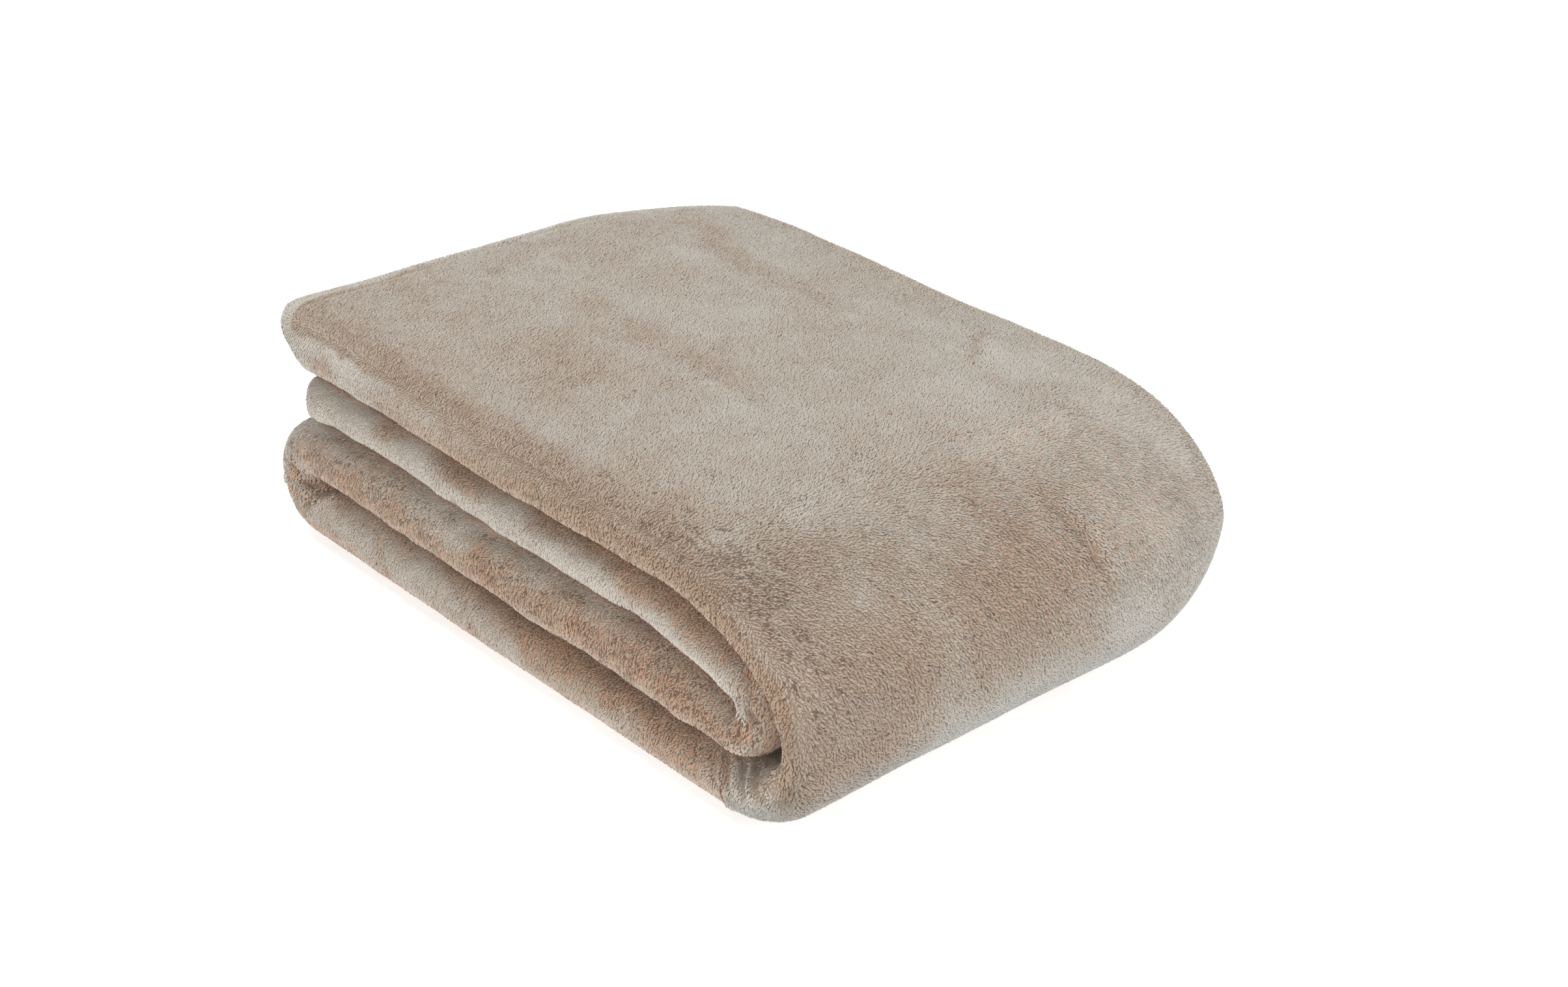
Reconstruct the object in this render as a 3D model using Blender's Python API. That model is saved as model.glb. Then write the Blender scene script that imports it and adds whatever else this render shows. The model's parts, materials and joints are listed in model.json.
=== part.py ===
"""A plush throw blanket, folded in half twice across its width and then in half twice along its length.

Folding it across gives a bundle of four plies: a spiral in section, with a rolled edge at the
front (-Y) and the two hems and the first fold at the back (+Y). Folding that bundle along its
length gives four runs, one over another: the top run ends free at -X, goes round the big outer
fold at +X into the bottom run, up round the end fold at -X into the third run, and round the
inner fold, nested in the outer one, into the second run, which ends free at -X.
The solid is the one cloth: a loft of the bundle's section along the path of the runs.
All sizes below are in millimetres, and M turns them into metres.
"""

import math

import bmesh
import bpy

M = 0.001

# ---- the cloth and the air in it ---------------------------------------------------------
PLY_GAP = 0.95  # between the plies of a bundle
ROLL_PLY = 6.6  # thickness of a ply where it goes round a rolled edge
CREASE = 0.6  # half the opening inside a rolled edge, along the width
HEM_ROUND = 2.4  # how far a hem or a cloth end tapers
HEM_THIN = 0.62  # thickness of the cloth at its very edge, as a share

# ---- the section of the bundle, across the width -----------------------------------------
FRONT = -159.0  # front of the rolled edge
ROLL = 18.0  # depth of the outer roll
INNER_ROLL = 9.2  # depth of the roll nested in it
INNER_SET = 0.9  # how much further back the nested roll has its centre
BACK = 160.0  # back of the first fold
FIRST_FOLD = 7.6  # depth of the first fold's roll

# What the hems and the rolled edge do on each run, as offsets in the width.
EDGES = {
    # run:     front  first_fold  outer_hem  inner_hem
    "top": (0.0, 0.5, 1.5, -4.0),
    "bottom": (-0.5, -1.0, -3.0, 0.5),
    "third": (-1.0, 1.0, -2.0, -5.0),
    "second": (2.0, -2.0, -4.5, 0.0),
}

# ---- how high the boundaries between the runs lie, along the length -----------------------
RUN_GAP = 1.1  # air between neighbouring runs
LEVELS = (
    # x, over_bottom, over_third, over_second, top_face
    (-220.0, 35.5, 69.0, 99.3, 132.0),
    (-180.0, 36.5, 71.5, 99.5, 134.8),
    (-130.0, 35.5, 71.5, 99.2, 134.2),
    (-60.0, 33.8, 70.5, 98.8, 129.4),
    (0.0, 33.0, 70.5, 98.6, 128.4),
    (60.0, 32.2, 70.0, 98.4, 128.6),
    (100.0, 31.5, 69.8, 98.2, 127.4),
    (130.0, 31.0, 68.0, 97.2, 124.0),
    (155.0, 31.2, 63.0, 93.0, 118.0),
    (173.0, 31.8, 58.5, 85.5, 112.0),
)

# ---- where the runs end and fold ----------------------------------------------------------
TOP_END = -213.0
SECOND_END = -184.5
END_FOLD = (-185.0, 16.9)  # x of its centre, half thickness of the bundle at its nose
INNER_FOLD = (173.0, 12.7)
# The free ends' corners, rounded in plan.
ENDS = {
    # run:     front and back (reach along the width, draw, power), how far it fades out
    "top": ((34.0, 26.0, 3.2), (48.0, 20.0, 2.6), 120.0),
    "second": ((18.0, 12.0, 3.0), (30.0, 8.0, 2.5), 80.0),
}
OUTER_FOLD = {
    "upper_x": 100.0,  # where the top run starts to turn
    "lower_x": 172.5,  # where it has come down onto the bottom run
    "nose_x": 228.0,
    "nose_z": 51.0,
    "upper_power": 2.1,  # 2 is an oval, and more is squarer
    "lower_power": 2.0,
}
# Half thickness of the bundle round the outer fold, by the angle of its face from level.
OUTER_HALF = (
    # degrees, half_thickness
    (90.0, 14.3),
    (62.0, 11.2),
    (30.0, 10.4),
    (0.0, 10.4),
    (-35.0, 12.6),
    (-90.0, 15.3),
)

# ---- how the folded block leans and rounds off --------------------------------------------
BACK_FALL = 0.085  # share of its height that the stack loses at the back
BACK_FALL_FROM, BACK_FALL_TO = 40.0, 165.0
# The outer fold's corners, softly rounded in plan.
CORNERS = {
    # side:  how far along the width it starts, how far it draws the fold in, how late
    "back": (95.0, 27.0, 2.3),
    "front": (22.0, 1.5, 2.0),
}
UNDER_DRAW = 0.75  # how much more the back corner is drawn in at the floor, as a share
SOFT_WAVE = (1.0, 260.0, 420.0, 0.4)  # height, wave_x, wave_y, phase, fading out downwards

# ---- how finely it is divided --------------------------------------------------------------
RUN_AT = (-190.0, -130.0, -70.0, -10.0, 45.0, 100.0, 140.0)
FLAT_AT = (-95.0, -10.0, 68.0, 112.0, 146.0)
UPPER_STEPS, LOWER_STEPS = 6, 5
END_STEPS, INNER_STEPS = 7, 7
ROLL_STEPS, NESTED_STEPS = 8, 5


def smooth(rows, column, at):
    """A column of a table between its rows, as a smooth curve through them."""
    rows = sorted(rows)
    at = min(max(at, rows[0][0]), rows[-1][0])
    k = max(i for i in range(len(rows) - 1) if rows[i][0] <= at)

    def slope(i):
        a, b = rows[max(i - 1, 0)], rows[min(i + 1, len(rows) - 1)]
        return (b[column] - a[column]) / (b[0] - a[0])

    a, b = rows[k], rows[k + 1]
    span = b[0] - a[0]
    t = (at - a[0]) / span
    return (
        a[column] * (2 * t**3 - 3 * t**2 + 1)
        + slope(k) * span * (t**3 - 2 * t**2 + t)
        + b[column] * (3 * t**2 - 2 * t**3)
        + slope(k + 1) * span * (t**3 - t**2)
    )


def ease(t):
    t = min(max(t, 0.0), 1.0)
    return t * t * (3 - 2 * t)


def between(a, b, t):
    return a + (b - a) * t


def span_of(run, x):
    """Underside and upper side of a run at x."""
    column = {"bottom": 0, "third": 1, "second": 2, "top": 3}[run]
    low = 0.0 if column == 0 else smooth(LEVELS, column, x) + RUN_GAP / 2
    high = smooth(LEVELS, column + 1, x) - (0.0 if column == 3 else RUN_GAP / 2)
    return low, high


def run_stations(run, start, stop, up):
    """Places along a run: x, z of the bundle's middle, the way its outer face looks, half its thickness, and whose edges it has."""
    found = []
    low_x, high_x = min(start, stop) + 12.0, max(start, stop) - 12.0
    inside = sorted((x for x in RUN_AT if low_x < x < high_x), reverse=start > stop)
    for x in (start, *inside, stop):
        low, high = span_of(run, x)
        found.append((x, (low + high) / 2, 0.0, up, (high - low) / 2, run, run, 0.0))
    return found


def turn_stations(first, last, centre_x, nose_half, steps, side, way):
    """Places round a fold that joins two runs at centre_x; way is +1 where the bundle's outer face is outside the fold."""
    (low_1, high_1), (low_2, high_2) = span_of(first, centre_x), span_of(last, centre_x)
    z_1, z_2 = (low_1 + high_1) / 2, (low_2 + high_2) / 2
    half_1, half_2 = (high_1 - low_1) / 2, (high_2 - low_2) / 2
    centre_z, radius = (z_1 + z_2) / 2, abs(z_2 - z_1) / 2
    found = []
    for i in range(1, steps):
        t = i / steps
        angle = math.pi * (t - 0.5)
        out_x, out_z = side * math.cos(angle), math.sin(angle)
        nose = math.sin(math.pi * t)
        half = between(between(half_1, half_2, ease(t)), nose_half, nose)
        found.append(
            (
                centre_x + radius * out_x,
                centre_z + radius * out_z,
                way * out_x,
                way * out_z,
                half,
                first,
                last,
                t,
            )
        )
    return found


def outer_stations():
    """Places round the big fold, measured in from its outer face, a quarter of an oval above the nose and one below."""
    top_z = span_of("top", OUTER_FOLD["upper_x"])[1]
    nose_x, nose_z = OUTER_FOLD["nose_x"], OUTER_FOLD["nose_z"]
    turns = [90 * (1 - i / UPPER_STEPS) for i in range(1, UPPER_STEPS)]
    turns += [-90 * i / LOWER_STEPS for i in range(LOWER_STEPS)]
    found = []
    for k, degrees in enumerate(turns, start=1):
        angle = math.radians(degrees)
        centre_x = OUTER_FOLD["upper_x" if degrees > 0 else "lower_x"]
        reach, rise = nose_x - centre_x, (top_z - nose_z) if degrees > 0 else nose_z
        power = OUTER_FOLD["upper_power" if degrees > 0 else "lower_power"]
        c, s = max(math.cos(angle), 0.0), abs(math.sin(angle))
        below = 1.0 if degrees > 0 else -1.0
        face_x = centre_x + reach * c ** (2 / power)
        face_z = nose_z + below * rise * s ** (2 / power)
        look_x = c ** (2 - 2 / power) / reach
        look_z = below * s ** (2 - 2 / power) / rise
        size = math.hypot(look_x, look_z)
        look_x, look_z = look_x / size, look_z / size
        half = smooth(OUTER_HALF, 1, math.degrees(math.atan2(look_z, look_x)))
        found.append(
            (
                face_x - half * look_x,
                face_z - half * look_z,
                look_x,
                look_z,
                half,
                "top",
                "bottom",
                k / (len(turns) + 1),
            )
        )
    return found


def path():
    stations = run_stations("top", TOP_END, OUTER_FOLD["upper_x"], 1.0)
    stations += outer_stations()
    stations += run_stations("bottom", OUTER_FOLD["lower_x"], END_FOLD[0], -1.0)
    stations += turn_stations("bottom", "third", *END_FOLD, END_STEPS, -1.0, 1.0)
    stations += run_stations("third", END_FOLD[0], INNER_FOLD[0], 1.0)
    stations += turn_stations("third", "second", *INNER_FOLD, INNER_STEPS, 1.0, -1.0)
    stations += run_stations("second", INNER_FOLD[0], SECOND_END, -1.0)
    return stations


def section(half, front, first_fold, outer_hem, inner_hem, thin):
    """The bundle's section as pairs (outer side, inner side) of (width, height) along the cloth, from its outer hem to its inner one."""
    ply = (2 * half - 3 * PLY_GAP) / 4
    pitch = ply + PLY_GAP
    levels = [1.5 * pitch, -1.5 * pitch, -0.5 * pitch, 0.5 * pitch]
    roll_y = front + ROLL
    nested_y = roll_y + INNER_SET
    first_y = first_fold - FIRST_FOLD
    pairs = []

    def flat(level, places, outer_up):
        rise = outer_up * ply / 2
        for y in places:
            pairs.append(((y, level + rise), (y, level - rise)))

    def roll(y, level, side, way, depth, outer_rise, inner_rise, steps):
        """Round a rolled edge. side is the way it bulges, and way is +1 where it goes round from top to bottom."""
        for i in range(steps + 1):
            angle = math.pi * (0.5 - i / steps) * way
            c, s = side * math.cos(angle), math.sin(angle)
            outside = (y + depth * c, level + outer_rise * s)
            inside = (y + max(depth - ROLL_PLY, CREASE) * c, level + inner_rise * s)
            pairs.append((outside, inside))

    def hem(level, y, outer_up):
        rise = outer_up * ply / 2 * HEM_THIN
        pairs.append(((y, level + rise), (y, level - rise)))

    hem(levels[0], outer_hem, 1)
    flat(levels[0], (outer_hem - HEM_ROUND, *FLAT_AT[::-1]), 1)
    roll(roll_y, 0.0, -1, 1, ROLL, 1.5 * pitch + ply / 2, 1.5 * pitch - ply / 2, ROLL_STEPS)
    flat(levels[1], FLAT_AT, -1)
    roll(first_y, -pitch, 1, -1, FIRST_FOLD, pitch / 2 + ply / 2, pitch / 2 - ply / 2, NESTED_STEPS)
    flat(levels[2], FLAT_AT[::-1], 1)
    # Round the nested roll the cloth's outer side is the inside of the curve.
    nested = len(pairs)
    roll(nested_y, 0.0, -1, -1, INNER_ROLL, pitch / 2 + ply / 2, pitch / 2 - ply / 2, NESTED_STEPS)
    pairs[nested:] = [(b, a) for a, b in pairs[nested:]]
    flat(levels[3], (*FLAT_AT, inner_hem - HEM_ROUND), -1)
    hem(levels[3], inner_hem, -1)
    if thin != 1.0:
        pairs = [
            tuple(
                ((a[0] + b[0]) / 2 + thin * (p[0] - (a[0] + b[0]) / 2), (a[1] + b[1]) / 2 + thin * (p[1] - (a[1] + b[1]) / 2))
                for p in (a, b)
            )
            for a, b in pairs
        ]
    return pairs


def rounding(inset, reach, draw, power):
    """How far a corner is drawn in, this far from the edge."""
    return draw * max(1 - max(inset, 0.0) / reach, 0.0) ** power


def settle(x, y, z):
    """How the whole stack leans, sinks and rounds off: a smooth change of place that keeps every layer beside its neighbours."""
    fall = BACK_FALL * ease((y - BACK_FALL_FROM) / (BACK_FALL_TO - BACK_FALL_FROM))
    height, wave_x, wave_y, phase = SOFT_WAVE
    share = ease((z - 30.0) / 90.0)
    wave = height * share * math.sin(2 * math.pi * (x / wave_x + y / wave_y) + phase)
    draw = rounding(BACK - y, *CORNERS["back"]) * (1 + UNDER_DRAW * (1 - ease(z / 75.0)))
    draw += rounding(y - FRONT, *CORNERS["front"])
    return x - draw * ease((x - 20.0) / 207.0), y, z * (1 - fall) + wave


def end_draw(run, x, y):
    """How far the free end of a run is drawn in at its corners."""
    if run not in ENDS:
        return 0.0
    front, back, fade = ENDS[run]
    start = TOP_END if run == "top" else SECOND_END
    draw = rounding(y - FRONT, *front) + rounding(BACK - y, *back)
    return draw * ease(1 - (x - start) / fade)


def cloth_rings():
    rings = []
    stations = path()
    last = len(stations) - 1
    ends = [(stations[0], -HEM_ROUND, HEM_THIN)]
    ends += [(s, 0.0, 1.0) for s in stations]
    ends += [(stations[last], -HEM_ROUND, HEM_THIN)]
    for (x, z, out_x, out_z, half, first, second, t), push, thin in ends:
        edges = [between(a, b, ease(t)) for a, b in zip(EDGES[first], EDGES[second])]
        pairs = section(
            half, FRONT + edges[0], BACK + edges[1], BACK + edges[2], BACK + edges[3], thin
        )
        rings.append(
            [
                [
                    settle(x + push + end_draw(first, x, y) + h * out_x, y, z + h * out_z)
                    for y, h in side
                ]
                for side in zip(*pairs)
            ]
        )
    return rings


def build_cloth():
    rings = cloth_rings()
    points = [p for ring in rings for side in ring for p in side]
    lows = [min(p[k] for p in points) for k in range(3)]
    highs = [max(p[k] for p in points) for k in range(3)]
    middle = ((lows[0] + highs[0]) / 2, (lows[1] + highs[1]) / 2, lows[2])
    mesh = bmesh.new()
    grid = [
        [[mesh.verts.new([(a - b) * M for a, b in zip(p, middle)]) for p in side] for side in ring]
        for ring in rings
    ]
    count = len(grid[0][0])
    for ring, following in zip(grid, grid[1:]):
        for j in range(count - 1):
            for k in (0, 1):
                a, b = ring[k][j], ring[k][j + 1]
                c, d = following[k][j + 1], following[k][j]
                mesh.faces.new((a, b, c, d) if k else (d, c, b, a))
        for j in (0, count - 1):
            mesh.faces.new((ring[0][j], ring[1][j], following[1][j], following[0][j]))
    for ring in (grid[0], grid[-1]):
        for j in range(count - 1):
            mesh.faces.new((ring[0][j], ring[0][j + 1], ring[1][j + 1], ring[1][j]))
    bmesh.ops.recalc_face_normals(mesh, faces=mesh.faces)
    data = bpy.data.meshes.new("throw")
    mesh.to_mesh(data)
    mesh.free()
    data.polygons.foreach_set("use_smooth", [True] * len(data.polygons))
    return bpy.data.objects.new("throw", data)


def plush():
    material = bpy.data.materials.new("beige_plush")
    material.use_nodes = True
    shader = material.node_tree.nodes["Principled BSDF"]
    shader.inputs["Base Color"].default_value = (0.50, 0.39, 0.29, 1.0)
    shader.inputs["Roughness"].default_value = 0.95
    return material


def main():
    for thing in list(bpy.data.objects):
        bpy.data.objects.remove(thing, do_unlink=True)
    collection = bpy.data.collections.new("folded_throw")
    bpy.context.scene.collection.children.link(collection)
    cloth = build_cloth()
    cloth.data.materials.append(plush())
    collection.objects.link(cloth)


main()
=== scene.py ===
"""Looks of a plush throw blanket folded in half twice across and twice along.

The cloth is one closed sheet on the folds of its solid: the same path of runs and the same section of
plies, divided finely, a pile's depth inside the solid's surface, with the soft hollows and puckers of
plush put in one by one. The pile is short leaning tufts, joined into a few meshes, wherever the folded
cloth can be seen from outside.
Sizes are in millimetres until the meshes are made, and M turns them into metres.
"""

import json
import math

import bpy
import numpy as np
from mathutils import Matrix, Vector
from mathutils.bvhtree import BVHTree

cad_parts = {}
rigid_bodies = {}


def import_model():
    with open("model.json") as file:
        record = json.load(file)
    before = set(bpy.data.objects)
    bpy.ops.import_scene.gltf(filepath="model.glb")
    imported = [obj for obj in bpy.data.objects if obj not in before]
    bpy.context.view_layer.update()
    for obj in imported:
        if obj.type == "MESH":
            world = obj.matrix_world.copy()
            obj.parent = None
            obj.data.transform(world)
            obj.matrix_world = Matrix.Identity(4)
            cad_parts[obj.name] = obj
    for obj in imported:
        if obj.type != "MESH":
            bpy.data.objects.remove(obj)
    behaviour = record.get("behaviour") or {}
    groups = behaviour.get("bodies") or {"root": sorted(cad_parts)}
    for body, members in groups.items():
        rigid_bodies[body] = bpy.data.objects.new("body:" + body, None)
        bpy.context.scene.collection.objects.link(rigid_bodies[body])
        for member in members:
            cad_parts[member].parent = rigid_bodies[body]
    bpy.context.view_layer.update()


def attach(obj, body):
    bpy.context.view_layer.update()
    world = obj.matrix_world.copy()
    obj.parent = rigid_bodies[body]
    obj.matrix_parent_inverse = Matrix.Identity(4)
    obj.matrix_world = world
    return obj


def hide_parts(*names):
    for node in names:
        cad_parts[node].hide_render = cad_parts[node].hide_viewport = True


M = 0.001

# ---- the folded cloth: the same sizes as its solid ----------------------------------------
PLY_GAP = 0.95
ROLL_PLY = 6.6
CREASE = 0.6
HEM_ROUND = 2.4
HEM_THIN = 0.62
FRONT = -159.0
ROLL = 18.0
INNER_ROLL = 9.2
INNER_SET = 0.9
BACK = 160.0
FIRST_FOLD = 7.6
EDGES = {
    # run:     front  first_fold  outer_hem  inner_hem
    "top": (0.0, 0.5, 1.5, -4.0),
    "bottom": (-0.5, -1.0, -3.0, 0.5),
    "third": (-1.0, 1.0, -2.0, -5.0),
    "second": (2.0, -2.0, -4.5, 0.0),
}
RUN_GAP = 1.1
LEVELS = (
    # x, over_bottom, over_third, over_second, top_face
    (-220.0, 35.5, 69.0, 99.3, 132.0),
    (-180.0, 36.5, 71.5, 99.5, 134.8),
    (-130.0, 35.5, 71.5, 99.2, 134.2),
    (-60.0, 33.8, 70.5, 98.8, 129.4),
    (0.0, 33.0, 70.5, 98.6, 128.4),
    (60.0, 32.2, 70.0, 98.4, 128.6),
    (100.0, 31.5, 69.8, 98.2, 127.4),
    (130.0, 31.0, 68.0, 97.2, 124.0),
    (155.0, 31.2, 63.0, 93.0, 118.0),
    (173.0, 31.8, 58.5, 85.5, 112.0),
)
TOP_END = -213.0
SECOND_END = -184.5
END_FOLD = (-185.0, 16.9)
INNER_FOLD = (173.0, 12.7)
ENDS = {
    "top": ((34.0, 26.0, 3.2), (48.0, 20.0, 2.6), 120.0),
    "second": ((18.0, 12.0, 3.0), (30.0, 8.0, 2.5), 80.0),
}
OUTER_FOLD = {
    "upper_x": 100.0,
    "lower_x": 172.5,
    "nose_x": 228.0,
    "nose_z": 51.0,
    "upper_power": 2.1,
    "lower_power": 2.0,
}
OUTER_HALF = (
    # degrees, half_thickness
    (90.0, 14.3),
    (62.0, 11.2),
    (30.0, 10.4),
    (0.0, 10.4),
    (-35.0, 12.6),
    (-90.0, 15.3),
)
BACK_FALL = 0.085
BACK_FALL_FROM, BACK_FALL_TO = 40.0, 165.0
CORNERS = {"back": (95.0, 27.0, 2.3), "front": (22.0, 1.5, 2.0)}
UNDER_DRAW = 0.75
SOFT_WAVE = (1.0, 260.0, 420.0, 0.4)
MIDDLE = (4.49556, 0.75, 0.0)  # the solid's own origin

# ---- how finely the sheet is divided ------------------------------------------------------
RUN_STEP = 5.5  # along the runs
UPPER_STEPS, LOWER_STEPS = 36, 20  # round the outer fold
END_STEPS, INNER_STEPS = 22, 18
ROLL_STEPS, FIRST_STEPS, NESTED_STEPS = 26, 12, 6
TOP_FLAT = np.linspace(-137.0, 152.0, 50)  # the outermost ply
UNDER_FLAT = np.linspace(-135.0, 146.0, 16)
HIDDEN_FLAT = (-95.0, -10.0, 68.0, 112.0, 138.0, 148.0)

# ---- pile ---------------------------------------------------------------------------------
PILE = 1.0  # how far the cloth lies inside the solid's surface
CLUMP = 2.0
SEED = 20
HEM_ROWS = 3
RUNS = ("top", "bottom", "third", "second")


# ---- the nap, with painted sheen and shade: pale and lying, or brown and standing ----------
# Soft patches on the cloth: partly the pile's own lie, partly painted light, with painted sheen where it lies pale
# and painted shade on the rolls under the run above. Along is x on a run, and length round the fold after it. Across is
# y on the outermost ply, and length round the rolled edge: on the top and third runs it falls from -141 at
# the roll's upper side, and on the second and bottom runs it rises from there, because they lie turned over.
NAP_BASE = {"top": 0.55, "bottom": 0.68, "third": 0.50, "second": 0.80}
NAP_AND_SHADE = {
    # along, across, reach_along, reach_across, turn, tone
    "top": (
        # the standing band inside the front edge, and the smooth rim in front of it
        (-180.0, -146.0, 45.0, 16.0, 0.0, -0.20),
        (-95.0, -150.0, 55.0, 13.0, 0.0, -0.28),
        (0.0, -148.0, 60.0, 15.0, 0.0, -0.26),
        (85.0, -142.0, 50.0, 20.0, 0.0, -0.20),
        (160.0, -136.0, 50.0, 26.0, 0.0, -0.20),
        (205.0, -50.0, 60.0, 120.0, 0.0, -0.10),
        (216.0, -60.0, 30.0, 50.0, 0.0, -0.06),
        (-136.0, -106.0, 60.0, 45.0, 0.0, -0.03),
        (-35.0, -56.0, 70.0, 45.0, 0.0, -0.03),
        (84.0, 22.0, 60.0, 60.0, 0.0, 0.03),
        # streaks on the top
        (-62.0, -17.0, 75.0, 12.0, 0.0, -0.10),
        (5.0, -24.0, 48.0, 8.0, -8.0, -0.08),
        (-60.0, -40.0, 62.0, 7.0, 4.0, 0.09),
        (20.0, -38.0, 40.0, 6.0, -8.0, 0.07),
        (-150.0, 104.0, 36.0, 11.0, -22.0, -0.13),
        (-85.0, 88.0, 48.0, 12.0, -3.0, -0.12),
        (-28.0, 84.0, 14.0, 11.0, 0.0, -0.10),
        (34.0, 86.0, 16.0, 10.0, 0.0, -0.06),
        (-60.0, -70.0, 50.0, 10.0, 6.0, -0.08),
        (0.0, -112.0, 60.0, 14.0, 0.0, -0.05),
        (-205.0, -80.0, 6.0, 55.0, 0.0, -0.12),
        (-120.0, 65.0, 30.0, 10.0, 0.0, 0.08),
        (0.0, 84.0, 10.0, 12.0, 0.0, 0.08),
        (85.0, 122.0, 26.0, 30.0, 0.0, 0.10),
        (-30.0, 30.0, 40.0, 24.0, 0.0, 0.05),
        (-30.0, -90.0, 30.0, 26.0, 0.0, -0.08),
        (-150.0, -112.0, 40.0, 14.0, 0.0, 0.06),
        # the outer fold, lightened on its right side, which is turned from the lamps, as painted light
        (178.0, -66.0, 36.0, 42.0, 0.0, 0.07),
        (168.0, 0.0, 48.0, 190.0, 0.0, 0.055),
        (142.0, -140.0, 26.0, 22.0, 0.0, 0.07),
        (200.0, 76.0, 60.0, 60.0, 0.0, 0.04),
        (200.0, 90.0, 30.0, 36.0, 0.0, 0.08),
        (222.0, 16.0, 34.0, 28.0, 0.0, -0.12),
        (236.0, 92.0, 22.0, 34.0, 0.0, 0.12),
        (228.0, -30.0, 34.0, 26.0, 0.0, -0.12),
        (172.0, -88.0, 18.0, 30.0, 0.0, -0.12),
        (236.0, -100.0, 34.0, 30.0, 0.0, -0.12),
        (165.0, 45.0, 40.0, 40.0, 0.0, 0.10),
        (165.0, 130.0, 45.0, 26.0, 0.0, 0.18),
        (90.0, 60.0, 50.0, 75.0, 0.0, 0.07),
        (160.0, -134.0, 46.0, 16.0, 0.0, 0.16),
        (120.0, -155.0, 110.0, 5.0, 0.0, -0.20),
        (278.0, -135.0, 24.0, 50.0, 0.0, -0.38),
        (232.0, -140.0, 34.0, 20.0, 0.0, -0.12),
        (-40.0, -100.0, 26.0, 14.0, 0.0, -0.05),
        (-205.0, 0.0, 26.0, 120.0, 0.0, -0.09),
        (-140.0, 138.0, 45.0, 16.0, 0.0, 0.12),
        (203.0, -93.0, 14.0, 10.0, 0.0, 0.16),
        (218.0, -66.0, 16.0, 7.0, 20.0, 0.10),
        (140.0, -100.0, 6.0, 40.0, 0.0, 0.09),
        (150.0, 60.0, 18.0, 40.0, 0.0, 0.05),
        (262.0, 62.0, 14.0, 25.0, 0.0, 0.20),
        (318.0, -20.0, 26.0, 150.0, 0.0, 0.30),
        (275.0, -20.0, 14.0, 34.0, 0.0, 0.07),
    ),
    "second": (
        (-165.0, -190.0, 40.0, 6.0, 0.0, 0.15),
        # Brown on the roll's upper side: partly standing pile, partly painted shade under the top run.
        (-196.0, -179.0, 6.0, 5.0, 0.0, -0.35),
        (-108.0, -182.0, 15.0, 9.0, 8.0, -0.45),
        (-45.0, -184.0, 36.0, 12.0, 0.0, -0.52),
        (-30.0, -176.0, 12.0, 8.0, 0.0, -0.16),
        (42.0, -186.0, 34.0, 12.0, -4.0, -0.50),
        (98.0, -184.0, 34.0, 13.0, 0.0, -0.55),
        (155.0, -184.0, 30.0, 16.0, 0.0, -0.55),
    ),
    "third": (
        (-96.0, -172.0, 45.0, 7.0, 0.0, -0.12),
        (29.0, -167.0, 40.0, 6.0, 0.0, -0.09),
        (150.0, -171.0, 40.0, 7.0, 0.0, -0.09),
        (-22.0, -149.0, 26.0, 7.0, 0.0, 0.13),
        (-212.0, -160.0, 26.0, 16.0, 0.0, 0.16),
        (-190.0, -143.0, 30.0, 9.0, 0.0, 0.45),
        (0.0, -143.0, 160.0, 6.5, 0.0, 0.42),
        (70.0, -152.0, 40.0, 16.0, 0.0, -0.14),
        (140.0, -156.0, 36.0, 22.0, 0.0, -0.18),
        # Darker on the roll's lower side: painted shade toward the crevice below it.
        (-30.0, -169.0, 230.0, 9.0, 0.0, -0.30),
        (105.0, -163.0, 60.0, 6.0, 0.0, -0.12),
        (-112.0, -164.0, 20.0, 8.0, 0.0, 0.14),
        (-45.0, -162.0, 22.0, 8.0, 0.0, 0.14),
        (20.0, -156.0, 20.0, 6.0, 0.0, 0.10),
        (-150.0, -158.0, 14.0, 5.0, 0.0, 0.10),
    ),
    "bottom": (
        # Brown on the roll's upper side: partly standing pile, partly painted shade under the third run.
        (-150.0, -192.0, 60.0, 9.0, 0.0, -0.30),
        (-55.0, -191.0, 42.0, 9.0, 0.0, -0.30),
        (-185.0, -182.0, 14.0, 9.0, 0.0, -0.20),
        (15.0, -184.0, 32.0, 18.0, 0.0, -0.36),
        (70.0, -184.0, 32.0, 16.0, 0.0, -0.38),
        (135.0, -181.0, 44.0, 18.0, 0.0, -0.30),
        (-10.0, -184.0, 235.0, 9.0, 0.0, -0.22),
        (-224.0, -172.0, 28.0, 24.0, 0.0, -0.20),
        (-180.0, -164.0, 30.0, 9.0, 0.0, -0.18),
        (0.0, -164.0, 240.0, 8.0, 0.0, -0.10),
        (5.0, -166.0, 12.0, 6.0, 0.0, 0.12),
        (88.0, -166.0, 10.0, 6.0, 0.0, 0.14),
    ),
}
# The rim outside the top's crest: along, tone. It is darker toward the outer fold, partly as painted shade.
RIM_TONE = (
    (-220.0, 0.74),
    (-150.0, 0.84),
    (-110.0, 0.66),
    (-60.0, 0.48),
    (0.0, 0.26),
    (100.0, 0.18),
    (160.0, 0.18),
    (240.0, 0.10),
    (280.0, 0.22),
    (325.0, 0.72),
)
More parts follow.
